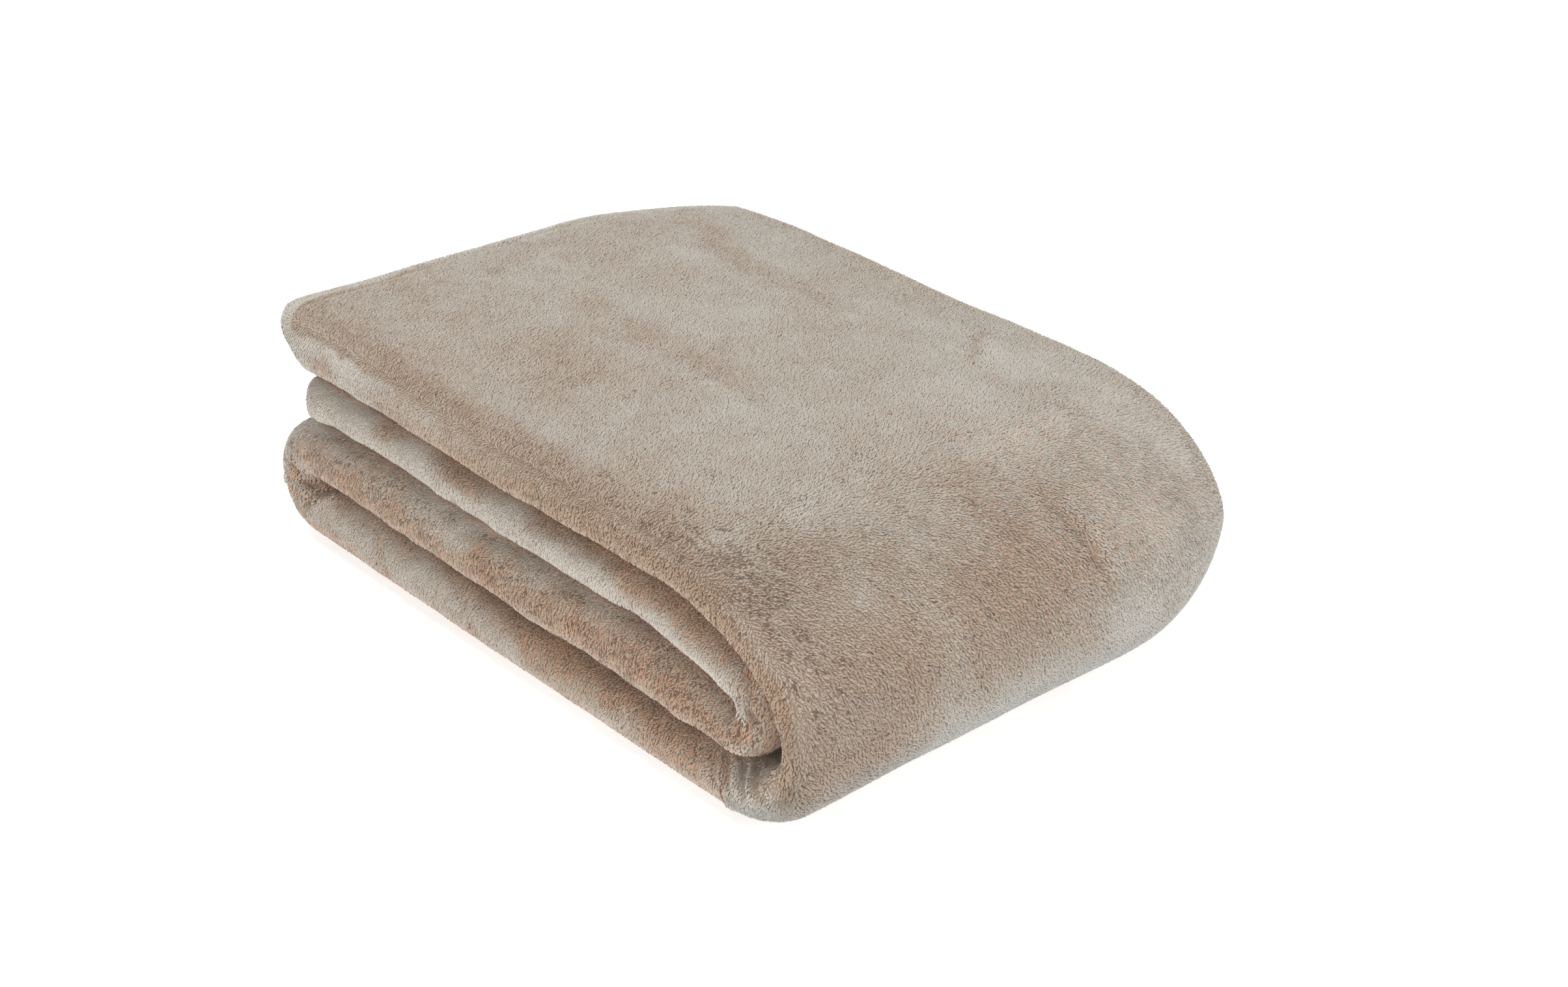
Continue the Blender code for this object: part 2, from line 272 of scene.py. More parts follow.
# Narrow marks with plain outlines: creases in the nap, and dents of a fingertip; most are darker, as painted shade in
# them, a few paler.
CREASES = {
    # along, across, reach_along, reach_across, turn, tone
    "top": (
        (44.0, 129.0, 15.0, 2.4, -52.0, -0.16),
        (60.0, 106.0, 16.0, 2.6, -46.0, -0.22),
        (70.0, 114.0, 20.0, 6.0, -50.0, 0.06),
        (205.0, 33.0, 38.0, 2.6, 14.0, -0.16),
        (136.0, -100.0, 22.0, 1.5, -73.0, -0.18),
        (283.0, -170.5, 12.0, 5.0, 0.0, 0.34),
        (-173.0, -38.0, 6.0, 5.0, 0.0, -0.16),
        (-160.0, -92.0, 5.0, 4.0, 0.0, -0.10),
        (-203.0, 10.0, 4.0, 9.0, 0.0, 0.14),
        (-165.0, 3.0, 9.0, 4.0, 0.0, -0.08),
    ),
    "second": (),
    "third": ((58.0, -160.0, 5.0, 9.0, 0.0, -0.14), (-5.0, -162.0, 9.0, 2.4, 60.0, -0.14)),
    "bottom": ((92.0, -176.0, 9.0, 2.4, 50.0, 0.16),),
}


# Creases, ripples and small ridges of the outer ply: from, to, half width, height (mm).
RELIEF_GAIN = 1.6
RELIEF = (
    # the left end, where the cloth wraps up from the bottom run to the third
    ((-205.0, -160.5, 45.0), (-198.0, -158.5, 38.5), 2.0, -1.5),
    ((-212.0, -160.0, 35.0), (-192.0, -153.0, 33.5), 1.8, -1.7),
    ((-177.4, -149.0, 35.0), (-186.0, -153.5, 31.5), 2.0, -1.4),
    ((-186.0, -153.5, 31.5), (-191.0, -158.5, 24.0), 2.2, -1.6),
    ((-191.0, -158.5, 24.0), (-196.0, -160.5, 17.0), 2.4, -1.3),
    ((-173.0, -151.0, 31.5), (-182.0, -157.0, 27.0), 2.6, 1.2),
    ((-182.0, -157.0, 27.0), (-186.5, -160.0, 19.0), 2.8, 1.0),
    ((-203.0, -161.0, 41.5), (-197.0, -159.0, 36.0), 1.6, 0.9),
    ((-199.0, -160.0, 30.5), (-192.0, -157.0, 30.0), 2.0, 1.0),
    ((-211.0, -160.5, 34.0), (-209.0, -161.0, 33.0), 2.4, 2.4),
    # ripples of the bottom roll, where the outer fold presses it together
    ((157.0, -154.0, 27.0), (163.0, -160.0, 18.0), 2.4, -1.1),
    ((160.5, -153.0, 27.8), (166.8, -160.0, 19.3), 2.2, 0.9),
    ((163.7, -152.0, 28.6), (170.4, -159.2, 20.3), 2.2, -1.3),
    ((168.0, -150.5, 29.0), (176.5, -159.3, 21.4), 2.4, 1.1),
    ((172.3, -148.5, 29.2), (181.9, -159.0, 22.5), 2.2, -1.7),
    ((175.5, -148.0, 29.6), (187.0, -159.5, 24.0), 2.4, 1.1),
    ((178.5, -146.6, 30.0), (191.6, -159.4, 25.6), 2.4, -1.3),
    ((146.0, -156.0, 26.0), (150.0, -160.5, 16.0), 3.0, -0.8),
    ((118.0, -156.0, 26.0), (123.0, -160.5, 16.0), 3.5, -0.8),
    # the lip at the foot of the outer fold
    ((202.5, -157.0, 44.0), (205.0, -160.0, 36.5), 2.6, 2.0),
    ((205.0, -160.0, 36.5), (202.5, -160.3, 28.0), 2.9, 2.3),
    ((195.0, -156.0, 37.0), (197.0, -160.0, 27.0), 2.4, -1.6),
    ((214.5, -159.5, 46.0), (212.8, -159.0, 38.0), 2.4, -1.1),
    ((212.8, -159.0, 38.0), (209.5, -159.0, 29.0), 2.4, -0.9),
    # the inner fold's nose
    ((177.7, -158.0, 70.0), (180.1, -159.3, 57.8), 1.8, -1.7),
    ((180.1, -159.3, 57.8), (179.5, -159.6, 47.3), 1.8, -1.2),
    ((184.7, -157.0, 65.8), (188.2, -155.5, 60.5), 1.6, -1.3),
    ((188.2, -155.5, 60.5), (185.0, -158.1, 58.6), 1.6, -1.3),
    ((181.5, -159.0, 66.0), (183.5, -158.5, 60.0), 2.4, 1.4),
    ((181.0, -159.0, 43.0), (189.0, -156.5, 46.5), 3.4, 1.2),
    ((179.0, -151.5, 79.0), (183.5, -153.5, 71.0), 2.6, -1.0),
    # the pinched crease on the top, and its ridge
    ((34.0, 137.0, 119.0), (47.8, 120.4, 120.5), 2.0, -0.5),
    ((47.8, 120.4, 120.5), (63.0, 107.3, 121.8), 2.0, -0.7),
    ((63.0, 107.3, 121.8), (76.0, 97.0, 122.8), 2.0, -0.5),
    ((56.0, 126.0, 120.3), (78.0, 107.0, 122.0), 5.0, 0.4),
    # the slanting groove of the outer fold
    ((183.4, 33.9, 107.5), (198.3, 36.9, 98.2), 5.0, -0.7),
    ((198.3, 36.9, 98.2), (212.0, 40.0, 83.0), 4.5, -1.0),
    ((201.0, 46.0, 96.5), (215.0, 50.0, 79.0), 6.0, 0.7),
    # the rim of the top's free end
    ((-203.0, -145.0, 132.0), (-208.0, -60.0, 134.0), 3.4, -0.7),
    ((-208.0, -60.0, 134.0), (-211.0, 40.0, 134.0), 3.4, -0.7),
    ((-211.0, 40.0, 134.0), (-204.0, 125.0, 124.0), 3.4, -0.5),
    # small marks
    ((133.3, -79.2, 125.1), (137.5, -98.0, 124.8), 1.4, -0.8),
    ((137.5, -98.0, 124.8), (143.0, -122.0, 122.5), 1.4, -0.7),
    ((123.0, -142.0, 126.8), (124.5, -142.5, 126.8), 2.2, 1.3),
    ((-173.0, -38.0, 135.0), (-172.0, -37.0, 135.0), 5.0, -0.4),
    ((-160.0, -92.0, 135.0), (-159.0, -92.0, 135.0), 5.0, -0.2),
    ((-170.0, 4.0, 135.0), (-158.0, 2.0, 135.0), 5.0, -0.2),
    # soft troughs on the rolls
    ((-60.0, -158.0, 88.0), (-40.0, -160.0, 80.0), 5.0, -0.9),
    ((10.0, -158.0, 86.0), (22.0, -160.0, 78.0), 5.0, -0.8),
    ((88.0, -157.0, 84.0), (98.0, -159.0, 74.0), 5.0, -0.8),
    ((56.0, -158.0, 55.0), (60.0, -160.0, 42.0), 4.0, -0.9),
    ((-10.0, -159.0, 56.0), (-4.0, -160.0, 44.0), 4.0, -0.9),
    ((-120.0, -158.0, 26.0), (-112.0, -160.0, 14.0), 5.0, -0.9),
    ((-40.0, -158.0, 26.0), (-30.0, -160.0, 14.0), 5.0, -0.8),
    ((88.0, -158.0, 25.0), (96.0, -160.0, 15.0), 4.0, -0.9),
)


def smooth(rows, column, at):
    """A column of a table between its rows, as a smooth curve through them."""
    rows = np.array(sorted(rows), float)
    key, value = rows[:, 0], rows[:, column]
    at = np.clip(at, key[0], key[-1])
    k = np.clip(np.searchsorted(key, at, side="right") - 1, 0, len(key) - 2)
    low, high = np.maximum(np.arange(len(key)) - 1, 0), np.minimum(np.arange(len(key)) + 1, len(key) - 1)
    slope = (value[high] - value[low]) / (key[high] - key[low])
    span = key[k + 1] - key[k]
    t = (at - key[k]) / span
    return (
        value[k] * (2 * t**3 - 3 * t**2 + 1)
        + slope[k] * span * (t**3 - 2 * t**2 + t)
        + value[k + 1] * (3 * t**2 - 2 * t**3)
        + slope[k + 1] * span * (t**3 - t**2)
    )


def ease(t):
    t = np.clip(t, 0.0, 1.0)
    return t * t * (3 - 2 * t)


def between(a, b, t):
    return a + (b - a) * t


def unit(v):
    return v / np.maximum(np.linalg.norm(v, axis=-1, keepdims=True), 1e-9)


def lattice(ix, iy, iz, seed):
    """A repeatable number from -1 to 1 for each lattice point."""
    h = (ix * 73856093) ^ (iy * 19349663) ^ (iz * 83492791) ^ (seed * 2654435761)
    h = (h & 0xFFFFFFFF).astype(np.uint64)
    h = ((h ^ (h >> 16)) * 0x45D9F3B) & 0xFFFFFFFF
    h = ((h ^ (h >> 16)) * 0x45D9F3B) & 0xFFFFFFFF
    h ^= h >> 16
    return h.astype(np.float64) / 2147483647.5 - 1.0


def noise(points, size, seed):
    """Soft noise from about -1 to 1, of this wavelength; size may be one for each axis."""
    q = points / np.asarray(size, float)
    cell = np.floor(q).astype(np.int64)
    f = q - cell
    u = f * f * f * (f * (f * 6 - 15) + 10)
    total = 0.0
    for dx in (0, 1):
        for dy in (0, 1):
            for dz in (0, 1):
                weight = (
                    (u[..., 0] if dx else 1 - u[..., 0])
                    * (u[..., 1] if dy else 1 - u[..., 1])
                    * (u[..., 2] if dz else 1 - u[..., 2])
                )
                total = total + weight * lattice(cell[..., 0] + dx, cell[..., 1] + dy, cell[..., 2] + dz, seed)
    return total


# ============================ the path of the runs =========================================
def span_of(run, x):
    column = {"bottom": 0, "third": 1, "second": 2, "top": 3}[run]
    low = 0.0 * x if column == 0 else smooth(LEVELS, column, x) + RUN_GAP / 2
    high = smooth(LEVELS, column + 1, x) - (0.0 if column == 3 else RUN_GAP / 2)
    return low, high


def run_stations(run, start, stop, up):
    count = max(int(round(abs(stop - start) / RUN_STEP)), 2)
    found = []
    for x in np.linspace(start, stop, count + 1):
        low, high = span_of(run, x)
        found.append((x, (low + high) / 2, 0.0, up, (high - low) / 2, run, run, 0.0))
    return found


def turn_stations(first, last, centre_x, nose_half, steps, side, way):
    (low_1, high_1), (low_2, high_2) = span_of(first, centre_x), span_of(last, centre_x)
    z_1, z_2 = (low_1 + high_1) / 2, (low_2 + high_2) / 2
    half_1, half_2 = (high_1 - low_1) / 2, (high_2 - low_2) / 2
    centre_z, radius = (z_1 + z_2) / 2, abs(z_2 - z_1) / 2
    found = []
    for i in range(1, steps):
        t = i / steps
        angle = math.pi * (t - 0.5)
        out_x, out_z = side * math.cos(angle), math.sin(angle)
        half = between(between(half_1, half_2, ease(t)), nose_half, math.sin(math.pi * t))
        place = (centre_x + radius * out_x, centre_z + radius * out_z, way * out_x, way * out_z)
        found.append((*place, half, first, last, t))
    return found


def outer_stations():
    top_z = span_of("top", OUTER_FOLD["upper_x"])[1]
    nose_x, nose_z = OUTER_FOLD["nose_x"], OUTER_FOLD["nose_z"]
    turns = [90 * (1 - i / UPPER_STEPS) for i in range(1, UPPER_STEPS)]
    turns += [-90 * i / LOWER_STEPS for i in range(LOWER_STEPS)]
    found = []
    for k, degrees in enumerate(turns, start=1):
        angle = math.radians(degrees)
        upper = degrees > 0
        centre_x = OUTER_FOLD["upper_x" if upper else "lower_x"]
        reach, rise = nose_x - centre_x, (top_z - nose_z) if upper else nose_z
        power = OUTER_FOLD["upper_power" if upper else "lower_power"]
        c, s = max(math.cos(angle), 0.0), abs(math.sin(angle))
        below = 1.0 if upper else -1.0
        face_x = centre_x + reach * c ** (2 / power)
        face_z = nose_z + below * rise * s ** (2 / power)
        look_x = c ** (2 - 2 / power) / reach
        look_z = below * s ** (2 - 2 / power) / rise
        size = math.hypot(look_x, look_z)
        look_x, look_z = look_x / size, look_z / size
        half = smooth(OUTER_HALF, 1, math.degrees(math.atan2(look_z, look_x)))
        place = (face_x - half * look_x, face_z - half * look_z, look_x, look_z)
        found.append((*place, half, "top", "bottom", k / (len(turns) + 1)))
    return found


def path():
    stations = run_stations("top", TOP_END, OUTER_FOLD["upper_x"], 1.0)
    stations += outer_stations()
    stations += run_stations("bottom", OUTER_FOLD["lower_x"], END_FOLD[0], -1.0)
    stations += turn_stations("bottom", "third", *END_FOLD, END_STEPS, -1.0, 1.0)
    stations += run_stations("third", END_FOLD[0], INNER_FOLD[0], 1.0)
    stations += turn_stations("third", "second", *INNER_FOLD, INNER_STEPS, 1.0, -1.0)
    stations += run_stations("second", INNER_FOLD[0], SECOND_END, -1.0)
    return stations


# ============================ the section of the bundle ====================================
def section(half, front, first_fold, outer_hem, inner_hem):
    """Pairs (outer side, inner side) of (width, height) along the cloth, for all stations at once."""
    ply = (2 * half - 3 * PLY_GAP) / 4
    pitch = ply + PLY_GAP
    level = (1.5 * pitch, -1.5 * pitch, -0.5 * pitch, 0.5 * pitch)
    roll_y = front + ROLL
    nested_y = roll_y + INNER_SET
    first_y = first_fold - FIRST_FOLD
    pairs = []

    def flat(h, places, outer_up):
        rise = outer_up * ply / 2
        pairs.extend(((y + 0 * half, h + rise), (y + 0 * half, h - rise)) for y in places)

    def roll(y, h, side, way, depth, outer_rise, inner_rise, steps):
        made = []
        for i in range(steps + 1):
            angle = math.pi * (0.5 - i / steps) * way
            c, s = side * math.cos(angle), math.sin(angle)
            outside = (y + depth * c, h + outer_rise * s)
            inside = (y + max(depth - ROLL_PLY, CREASE) * c, h + inner_rise * s)
            made.append((outside, inside))
        return made

    def hem(h, y, outer_up):
        """From its very edge inwards, as a rounded lip."""
        rows = ((0.0, HEM_THIN), (0.9, 0.84), (HEM_ROUND, 1.0))
        return [
            ((y - back, h + outer_up * ply / 2 * share), (y - back, h - outer_up * ply / 2 * share))
            for back, share in rows
        ]

    pairs.extend(hem(level[0], outer_hem, 1))
    flat(level[0], TOP_FLAT[::-1], 1)
    pairs.extend(roll(roll_y, 0.0, -1, 1, ROLL, 1.5 * pitch + ply / 2, 1.5 * pitch - ply / 2, ROLL_STEPS))
    flat(level[1], UNDER_FLAT, -1)
    pairs.extend(roll(first_y, -pitch, 1, -1, FIRST_FOLD, pitch / 2 + ply / 2, pitch / 2 - ply / 2, FIRST_STEPS))
    flat(level[2], HIDDEN_FLAT[::-1], 1)
    nested = roll(nested_y, 0.0, -1, -1, INNER_ROLL, pitch / 2 + ply / 2, pitch / 2 - ply / 2, NESTED_STEPS)
    pairs.extend((b, a) for a, b in nested)
    flat(level[3], HIDDEN_FLAT, -1)
    pairs.extend(hem(level[3], inner_hem, -1)[::-1])
    sides = [np.array([[p[k][axis] for p in pairs] for axis in (0, 1)]) for k in (0, 1)]
    return [side.transpose(0, 2, 1) for side in sides]  # (width or height, station, pair)


def rounding(inset, reach, draw, power):
    return draw * np.maximum(1 - np.maximum(inset, 0.0) / reach, 0.0) ** power


def settle(x, y, z):
    fall = BACK_FALL * ease((y - BACK_FALL_FROM) / (BACK_FALL_TO - BACK_FALL_FROM))
    height, wave_x, wave_y, phase = SOFT_WAVE
    share = ease((z - 30.0) / 90.0)
    wave = height * share * np.sin(2 * math.pi * (x / wave_x + y / wave_y) + phase)
    draw = rounding(BACK - y, *CORNERS["back"]) * (1 + UNDER_DRAW * (1 - ease(z / 75.0)))
    draw += rounding(y - FRONT, *CORNERS["front"])
    return np.stack([x - draw * ease((x - 20.0) / 207.0), y, z * (1 - fall) + wave], -1)


def end_draw(run, x, y):
    if run not in ENDS:
        return 0.0 * y
    front, back, fade = ENDS[run]
    start = TOP_END if run == "top" else SECOND_END
    draw = rounding(y - FRONT, *front) + rounding(BACK - y, *back)
    return draw * ease(1 - (x - start) / fade)


def cloth_sides():
    """Both sides of the cloth as grids of points (station, pair, xyz), and each station's label."""
    stations = path()
    ends = [(stations[0], -HEM_ROUND, HEM_THIN), (stations[0], -1.2, 0.84)]
    ends += [(s, 0.0, 1.0) for s in stations]
    ends += [(stations[-1], -1.2, 0.84), (stations[-1], -HEM_ROUND, HEM_THIN)]
    rows = np.array([s[:5] for s, _, _ in ends], float)
    share = np.array([s[7] for s, _, _ in ends])
    edges = np.array(
        [between(np.array(EDGES[s[5]]), np.array(EDGES[s[6]]), ease(s[7])) for s, _, _ in ends]
    )
    push = np.array([p for _, p, _ in ends])[:, None]
    thin = np.array([t for _, _, t in ends])[:, None]
    x, z, look_x, look_z, half = (rows[:, k] for k in range(5))
    outer, inner = section(half, FRONT + edges[:, 0], BACK + edges[:, 1], BACK + edges[:, 2], BACK + edges[:, 3])
    middle = (outer + inner) / 2
    found = []
    for side in (outer, inner):
        y, h = middle + thin * (side - middle)
        draw = np.zeros_like(y)
        for k, (station, _, _) in enumerate(ends):
            if station[5] == station[6]:
                draw[k] = end_draw(station[5], station[0], y[k])
        found.append(settle(x[:, None] + push + draw + h * look_x[:, None], y, z[:, None] + h * look_z[:, None]))
    return found[0] - MIDDLE, found[1] - MIDDLE, [s for s, _, _ in ends]


def own_places(stations, p):
    """Where each grid point of the outer side lies on the cloth: its run, its place along and its place across.

    Along is x on a run, and goes on as length round the fold after it. Across is y on the outermost ply, and
    goes on as length round the rolled edge."""
    line = p[:, HEM_ROWS + len(TOP_FLAT) // 2]
    length = np.concatenate([[0.0], np.cumsum(np.linalg.norm(np.diff(line, axis=0), axis=1))])
    run, along = [], []
    for k, (x, _, _, _, _, first, last, t) in enumerate(stations):
        mine = first if first == last or first == "top" or t < 0.5 else last
        run.append(RUNS.index(mine))
        along.append(x - MIDDLE[0] if first == last else None)
    for k, (x, _, _, _, _, first, last, t) in enumerate(stations):
        if along[k] is None:
            level = [n for n, a in enumerate(along) if a is not None and run[n] == run[k] and stations[n][5] == stations[n][6]]
            near = min(level, key=lambda n: abs(n - k))
            away = 1.0 if first == "top" or "third" in (first, last) and "second" in (first, last) else -1.0
            along[k] = (along[near], away * abs(length[k] - length[near]))
    along = [a if not isinstance(a, tuple) else a[0] + a[1] for a in along]
    middle = p[len(stations) // 12]
    across = middle[:, 1].copy()
    start = HEM_ROWS + len(TOP_FLAT)
    steps = np.linalg.norm(np.diff(middle[start - 1 :], axis=0), axis=1)
    across[start:] = across[start - 1] - np.cumsum(steps)
    return np.array(run), np.array(along), across


# ============================ grids, normals and the mesh ==================================
def grid_normals(p):
    return unit(np.cross(np.gradient(p, axis=0), np.gradient(p, axis=1)))


def facing(normals, p, other):
    """The normals of one side of the cloth, turned away from its other side."""
    sign = np.sign(np.median(((p - other) * normals).sum(-1)))
    return normals * (sign if sign else 1.0)


def rim(p, q):
    """Points round the cloth's edge, a little outside the middle of its two sides, in order round it."""
    m, n = p.shape[:2]
    loop = [(0, j) for j in range(n)] + [(i, n - 1) for i in range(1, m)]
    loop += [(m - 1, j) for j in range(n - 2, -1, -1)] + [(i, 0) for i in range(m - 2, 0, -1)]
    middle = (p + q) / 2
    out = np.zeros_like(middle)
    out[0] += unit(middle[0] - middle[2])
    out[-1] += unit(middle[-1] - middle[-3])
    out[:, 0] += unit(middle[:, 0] - middle[:, 2])
    out[:, -1] += unit(middle[:, -1] - middle[:, -3])
    rows, columns = np.array(loop).T
    return loop, middle[rows, columns] + 0.7 * unit(out[rows, columns]), unit(out[rows, columns])


def new_mesh(name, points, faces, corners):
    """A mesh from flat arrays; every face has this many corners."""
    data = bpy.data.meshes.new(name)
    data.vertices.add(len(points))
    data.vertices.foreach_set("co", (points * M).astype(np.float32).ravel())
    data.loops.add(faces.size)
    data.loops.foreach_set("vertex_index", faces.astype(np.int32).ravel())
    data.polygons.add(len(faces))
    data.polygons.foreach_set("loop_start", np.arange(0, faces.size, corners, dtype=np.int32))
    data.polygons.foreach_set("use_smooth", np.ones(len(faces), bool))
    data.update(calc_edges=True)
    data.validate()
    return data


def cloth_mesh(p, q):
    """The closed sheet, and its own flat map: one side in the lower half, the other in the upper."""
    m, n = p.shape[:2]
    index = np.arange(m * n).reshape(m, n)
    loop, rim_points, _ = rim(p, q)
    rows, columns = np.array(loop).T
    count = len(loop)
    points = np.concatenate([p.reshape(-1, 3), q.reshape(-1, 3), rim_points])
    a, b, c, d = index[:-1, :-1], index[1:, :-1], index[1:, 1:], index[:-1, 1:]
    quads = np.stack([a, b, c, d], -1).reshape(-1, 4)
    edge = index[rows, columns]
    following = np.roll(edge, -1)
    lip = 2 * m * n + np.arange(count)
    after = np.roll(lip, -1)
    faces = np.concatenate(
        [
            quads,
            quads[:, ::-1] + m * n,
            np.stack([edge, following, after, lip], -1),
            np.stack([lip, after, following + m * n, edge + m * n], -1),
        ]
    )
    # The flat map, by place in the grid.
    u, v = np.meshgrid(np.linspace(0.02, 0.98, m), np.linspace(0.02, 0.48, n), indexing="ij")
    lower = np.stack([u, v], -1).reshape(-1, 2)
    upper = lower + (0.0, 0.5)
    centre = np.array([0.5, 0.25])
    at = lower[edge]
    away = at + 0.012 * np.sign(at - centre) * (
        np.stack([(rows == 0) | (rows == m - 1), (columns == 0) | (columns == n - 1)], -1)
    )
    places = [lower[quads], (lower[quads[:, ::-1]] + (0.0, 0.5))]
    places.append(np.stack([at, np.roll(at, -1, 0), np.roll(away, -1, 0), away], 1))
    up = (0.0, 0.5)
    places.append(np.stack([away, np.roll(away, -1, 0), np.roll(at, -1, 0), at], 1) + up)
    data = new_mesh("throw_cloth", points, faces, 4)
    return data, np.concatenate(places).reshape(-1, 2), faces, points


# ============================ where the cloth shows ========================================
def openness(p, normals, tree, rays, reach):
    """For each point, the share of the directions it looks in that leave the folded throw."""
    rng = np.random.default_rng(SEED)
    k = np.arange(rays) + 0.5
    radius, turn = np.sqrt(k / rays), np.pi * (1 + 5**0.5) * k
    local = np.stack([radius * np.cos(turn), radius * np.sin(turn), np.sqrt(1 - k / rays)], -1)
    flat_p, flat_n = p.reshape(-1, 3), normals.reshape(-1, 3)
    side = unit(np.cross(flat_n, np.where(np.abs(flat_n[:, 2:]) < 0.9, [[0.0, 0.0, 1.0]], [[1.0, 0.0, 0.0]])))
    other = np.cross(flat_n, side)
    spin = rng.uniform(0, 2 * np.pi, len(flat_p))
    free = np.zeros(len(flat_p))
    cast = tree.ray_cast
    cs, sn = np.cos(spin), np.sin(spin)
    for lx, ly, lz in local:
        ax, ay = lx * cs - ly * sn, lx * sn + ly * cs
        way = ax[:, None] * side + ay[:, None] * other + lz * flat_n
        start = flat_p + 0.9 * flat_n
        down = (way[:, 2] < -0.05) & (start[:, 2] < -way[:, 2] * reach)
        starts, ways = start.tolist(), way.tolist()
        hits = [d or cast(a, b, reach)[0] is not None for a, b, d in zip(starts, ways, down.tolist())]
        free += 1 - np.array(hits, float)
    return (free / rays).reshape(p.shape[:2])


def scattered(weights, count, seed):
    """count places on a grid of cells, spread evenly by their weights: cell row, cell column and the place in it."""
    rng = np.random.default_rng(seed)
    rows = weights.sum(1)
    edges = np.concatenate([[0], np.cumsum(rows)]) / rows.sum()
    place = (np.arange(count) + rng.uniform(0, 1, count)) / count
    i = np.clip(np.searchsorted(edges, place, side="right") - 1, 0, len(rows) - 1)
    share = (place - edges[i]) / np.maximum(edges[i + 1] - edges[i], 1e-12)
    # Down each row of cells in turn; the golden ratio spreads them across it at any spacing.
    a = (np.arange(count) * 0.6180339887498949 + rng.uniform(0, 1, len(rows))[i]) % 1
    along = np.concatenate([np.zeros((len(weights), 1)), np.cumsum(weights, 1)], 1)
    along /= np.maximum(along[:, -1:], 1e-12)
    j, b = np.zeros(count, np.int64), np.zeros(count)
    starts = np.searchsorted(i, np.arange(len(weights) + 1))
    for row in range(len(weights)):
        mine = slice(starts[row], starts[row + 1])
        if starts[row + 1] > starts[row]:
            edge = along[row]
            column = np.clip(np.searchsorted(edge, share[mine], side="right") - 1, 0, weights.shape[1] - 1)
            j[mine] = column
            b[mine] = (share[mine] - edge[column]) / np.maximum(edge[column + 1] - edge[column], 1e-12)
    return i, j, a, np.clip(b, 0, 1), rng


def on_grid(values, i, j, a, b):
    a, b = (a[:, None], b[:, None]) if values.ndim == 3 else (a, b)
    return (
        values[i, j] * (1 - a) * (1 - b)
        + values[i + 1, j] * a * (1 - b)
        + values[i, j + 1] * (1 - a) * b
        + values[i + 1, j + 1] * a * b
    )


# ============================ what the plush does ==========================================
def soften(p):
    """The unevenness of the folded plush: a smooth change of place, the same for all layers near a spot."""
    shift = np.stack(
        [
            0.5 * noise(p, (60, 60, 40), 11),
            0.6 * noise(p, (50, 60, 40), 12),
            0.9 * noise(p, (70, 70, 60), 13) + 0.35 * noise(p, (28, 28, 24), 14),
        ],
        -1,
    )
    # Nothing moves on the floor.
    lift = ease((p[..., 2] - 1.0) / 16.0)[..., None]
    return p + shift * lift


def free_end(p):
    """The top run's free end: its front corner draws in below, and its upper edge falls off softly."""
    x, y, z = p[..., 0], p[..., 1], p[..., 2]
    own = ease((z - 98.5) / 3.0)
    draw = 17.0 * own * ease((-158.0 - x) / 55.0) * ease((-62.0 - y) / 80.0) * ease((123.0 - z) / 18.0)
    fall = 0.8 * own * ease((-190.0 - x) / 28.0) ** 2 * ease((z - 108.0) / 18.0)
    swell = 2.6 * own * ease((-150.0 - x) / 55.0) * ease((-95.0 - y) / 50.0) * ease((z - 108.0) / 8.0)
    return p + np.stack([draw - swell, 0 * y, -fall], -1)


def relief(at, run, along, across, spread=0.0):
    """How far the outer ply stands out at these places; spread widens the troughs."""
    height = np.zeros(at.shape[:-1])
    for a, b, width, rise in RELIEF:
        a, b = np.array(a), np.array(b)
        reach = width + (spread if rise < 0 else 0.0)
        low, high = np.minimum(a, b) - 2.6 * reach, np.maximum(a, b) + 2.6 * reach
        near = ((at > low) & (at < high)).all(-1)
        gap = at[near] - a
        axis = b - a
        gap = gap - (np.clip(gap @ axis / (axis @ axis), 0, 1))[..., None] * axis
        height[near] += RELIEF_GAIN * rise * np.exp(-(gap**2).sum(-1) / reach**2)
    # The crest of the top's front edge, and the hollow in front of it.
    crest = 0.9 * np.exp(-(((across + 155.0) / 4.5) ** 2)) - 0.6 * np.exp(-(((across + 166.5) / 5.0) ** 2))
    crest *= 1 + 0.4 * noise(at, 19, 61) + 0.3 * noise(at, 7, 62)
    # The rolled edges are lumpy.
    lumps = 0.9 * noise(at, (26, 26, 20), 63) + 0.55 * noise(at, (12, 12, 10), 64)
    lumps *= ease((-140.0 - across) / 12.0) * ease((at[..., 2] - 3.0) / 10.0)
    return height + np.where(run == 0, crest * ease((300.0 - along) / 30.0) + 0.45 * lumps, lumps)


def patches(rows, along, across):
    """The sum of a table's soft patches at these places on the cloth."""
    total = np.zeros_like(along)
    for at_along, at_across, reach_along, reach_across, turn, amount in rows:
        c, s = math.cos(math.radians(turn)), math.sin(math.radians(turn))
        u, v = along - at_along, across - at_across
        far = ((u * c + v * s) / reach_along) ** 2 + ((v * c - u * s) / reach_across) ** 2
        total += amount * np.exp(-(far**1.6))
    return total


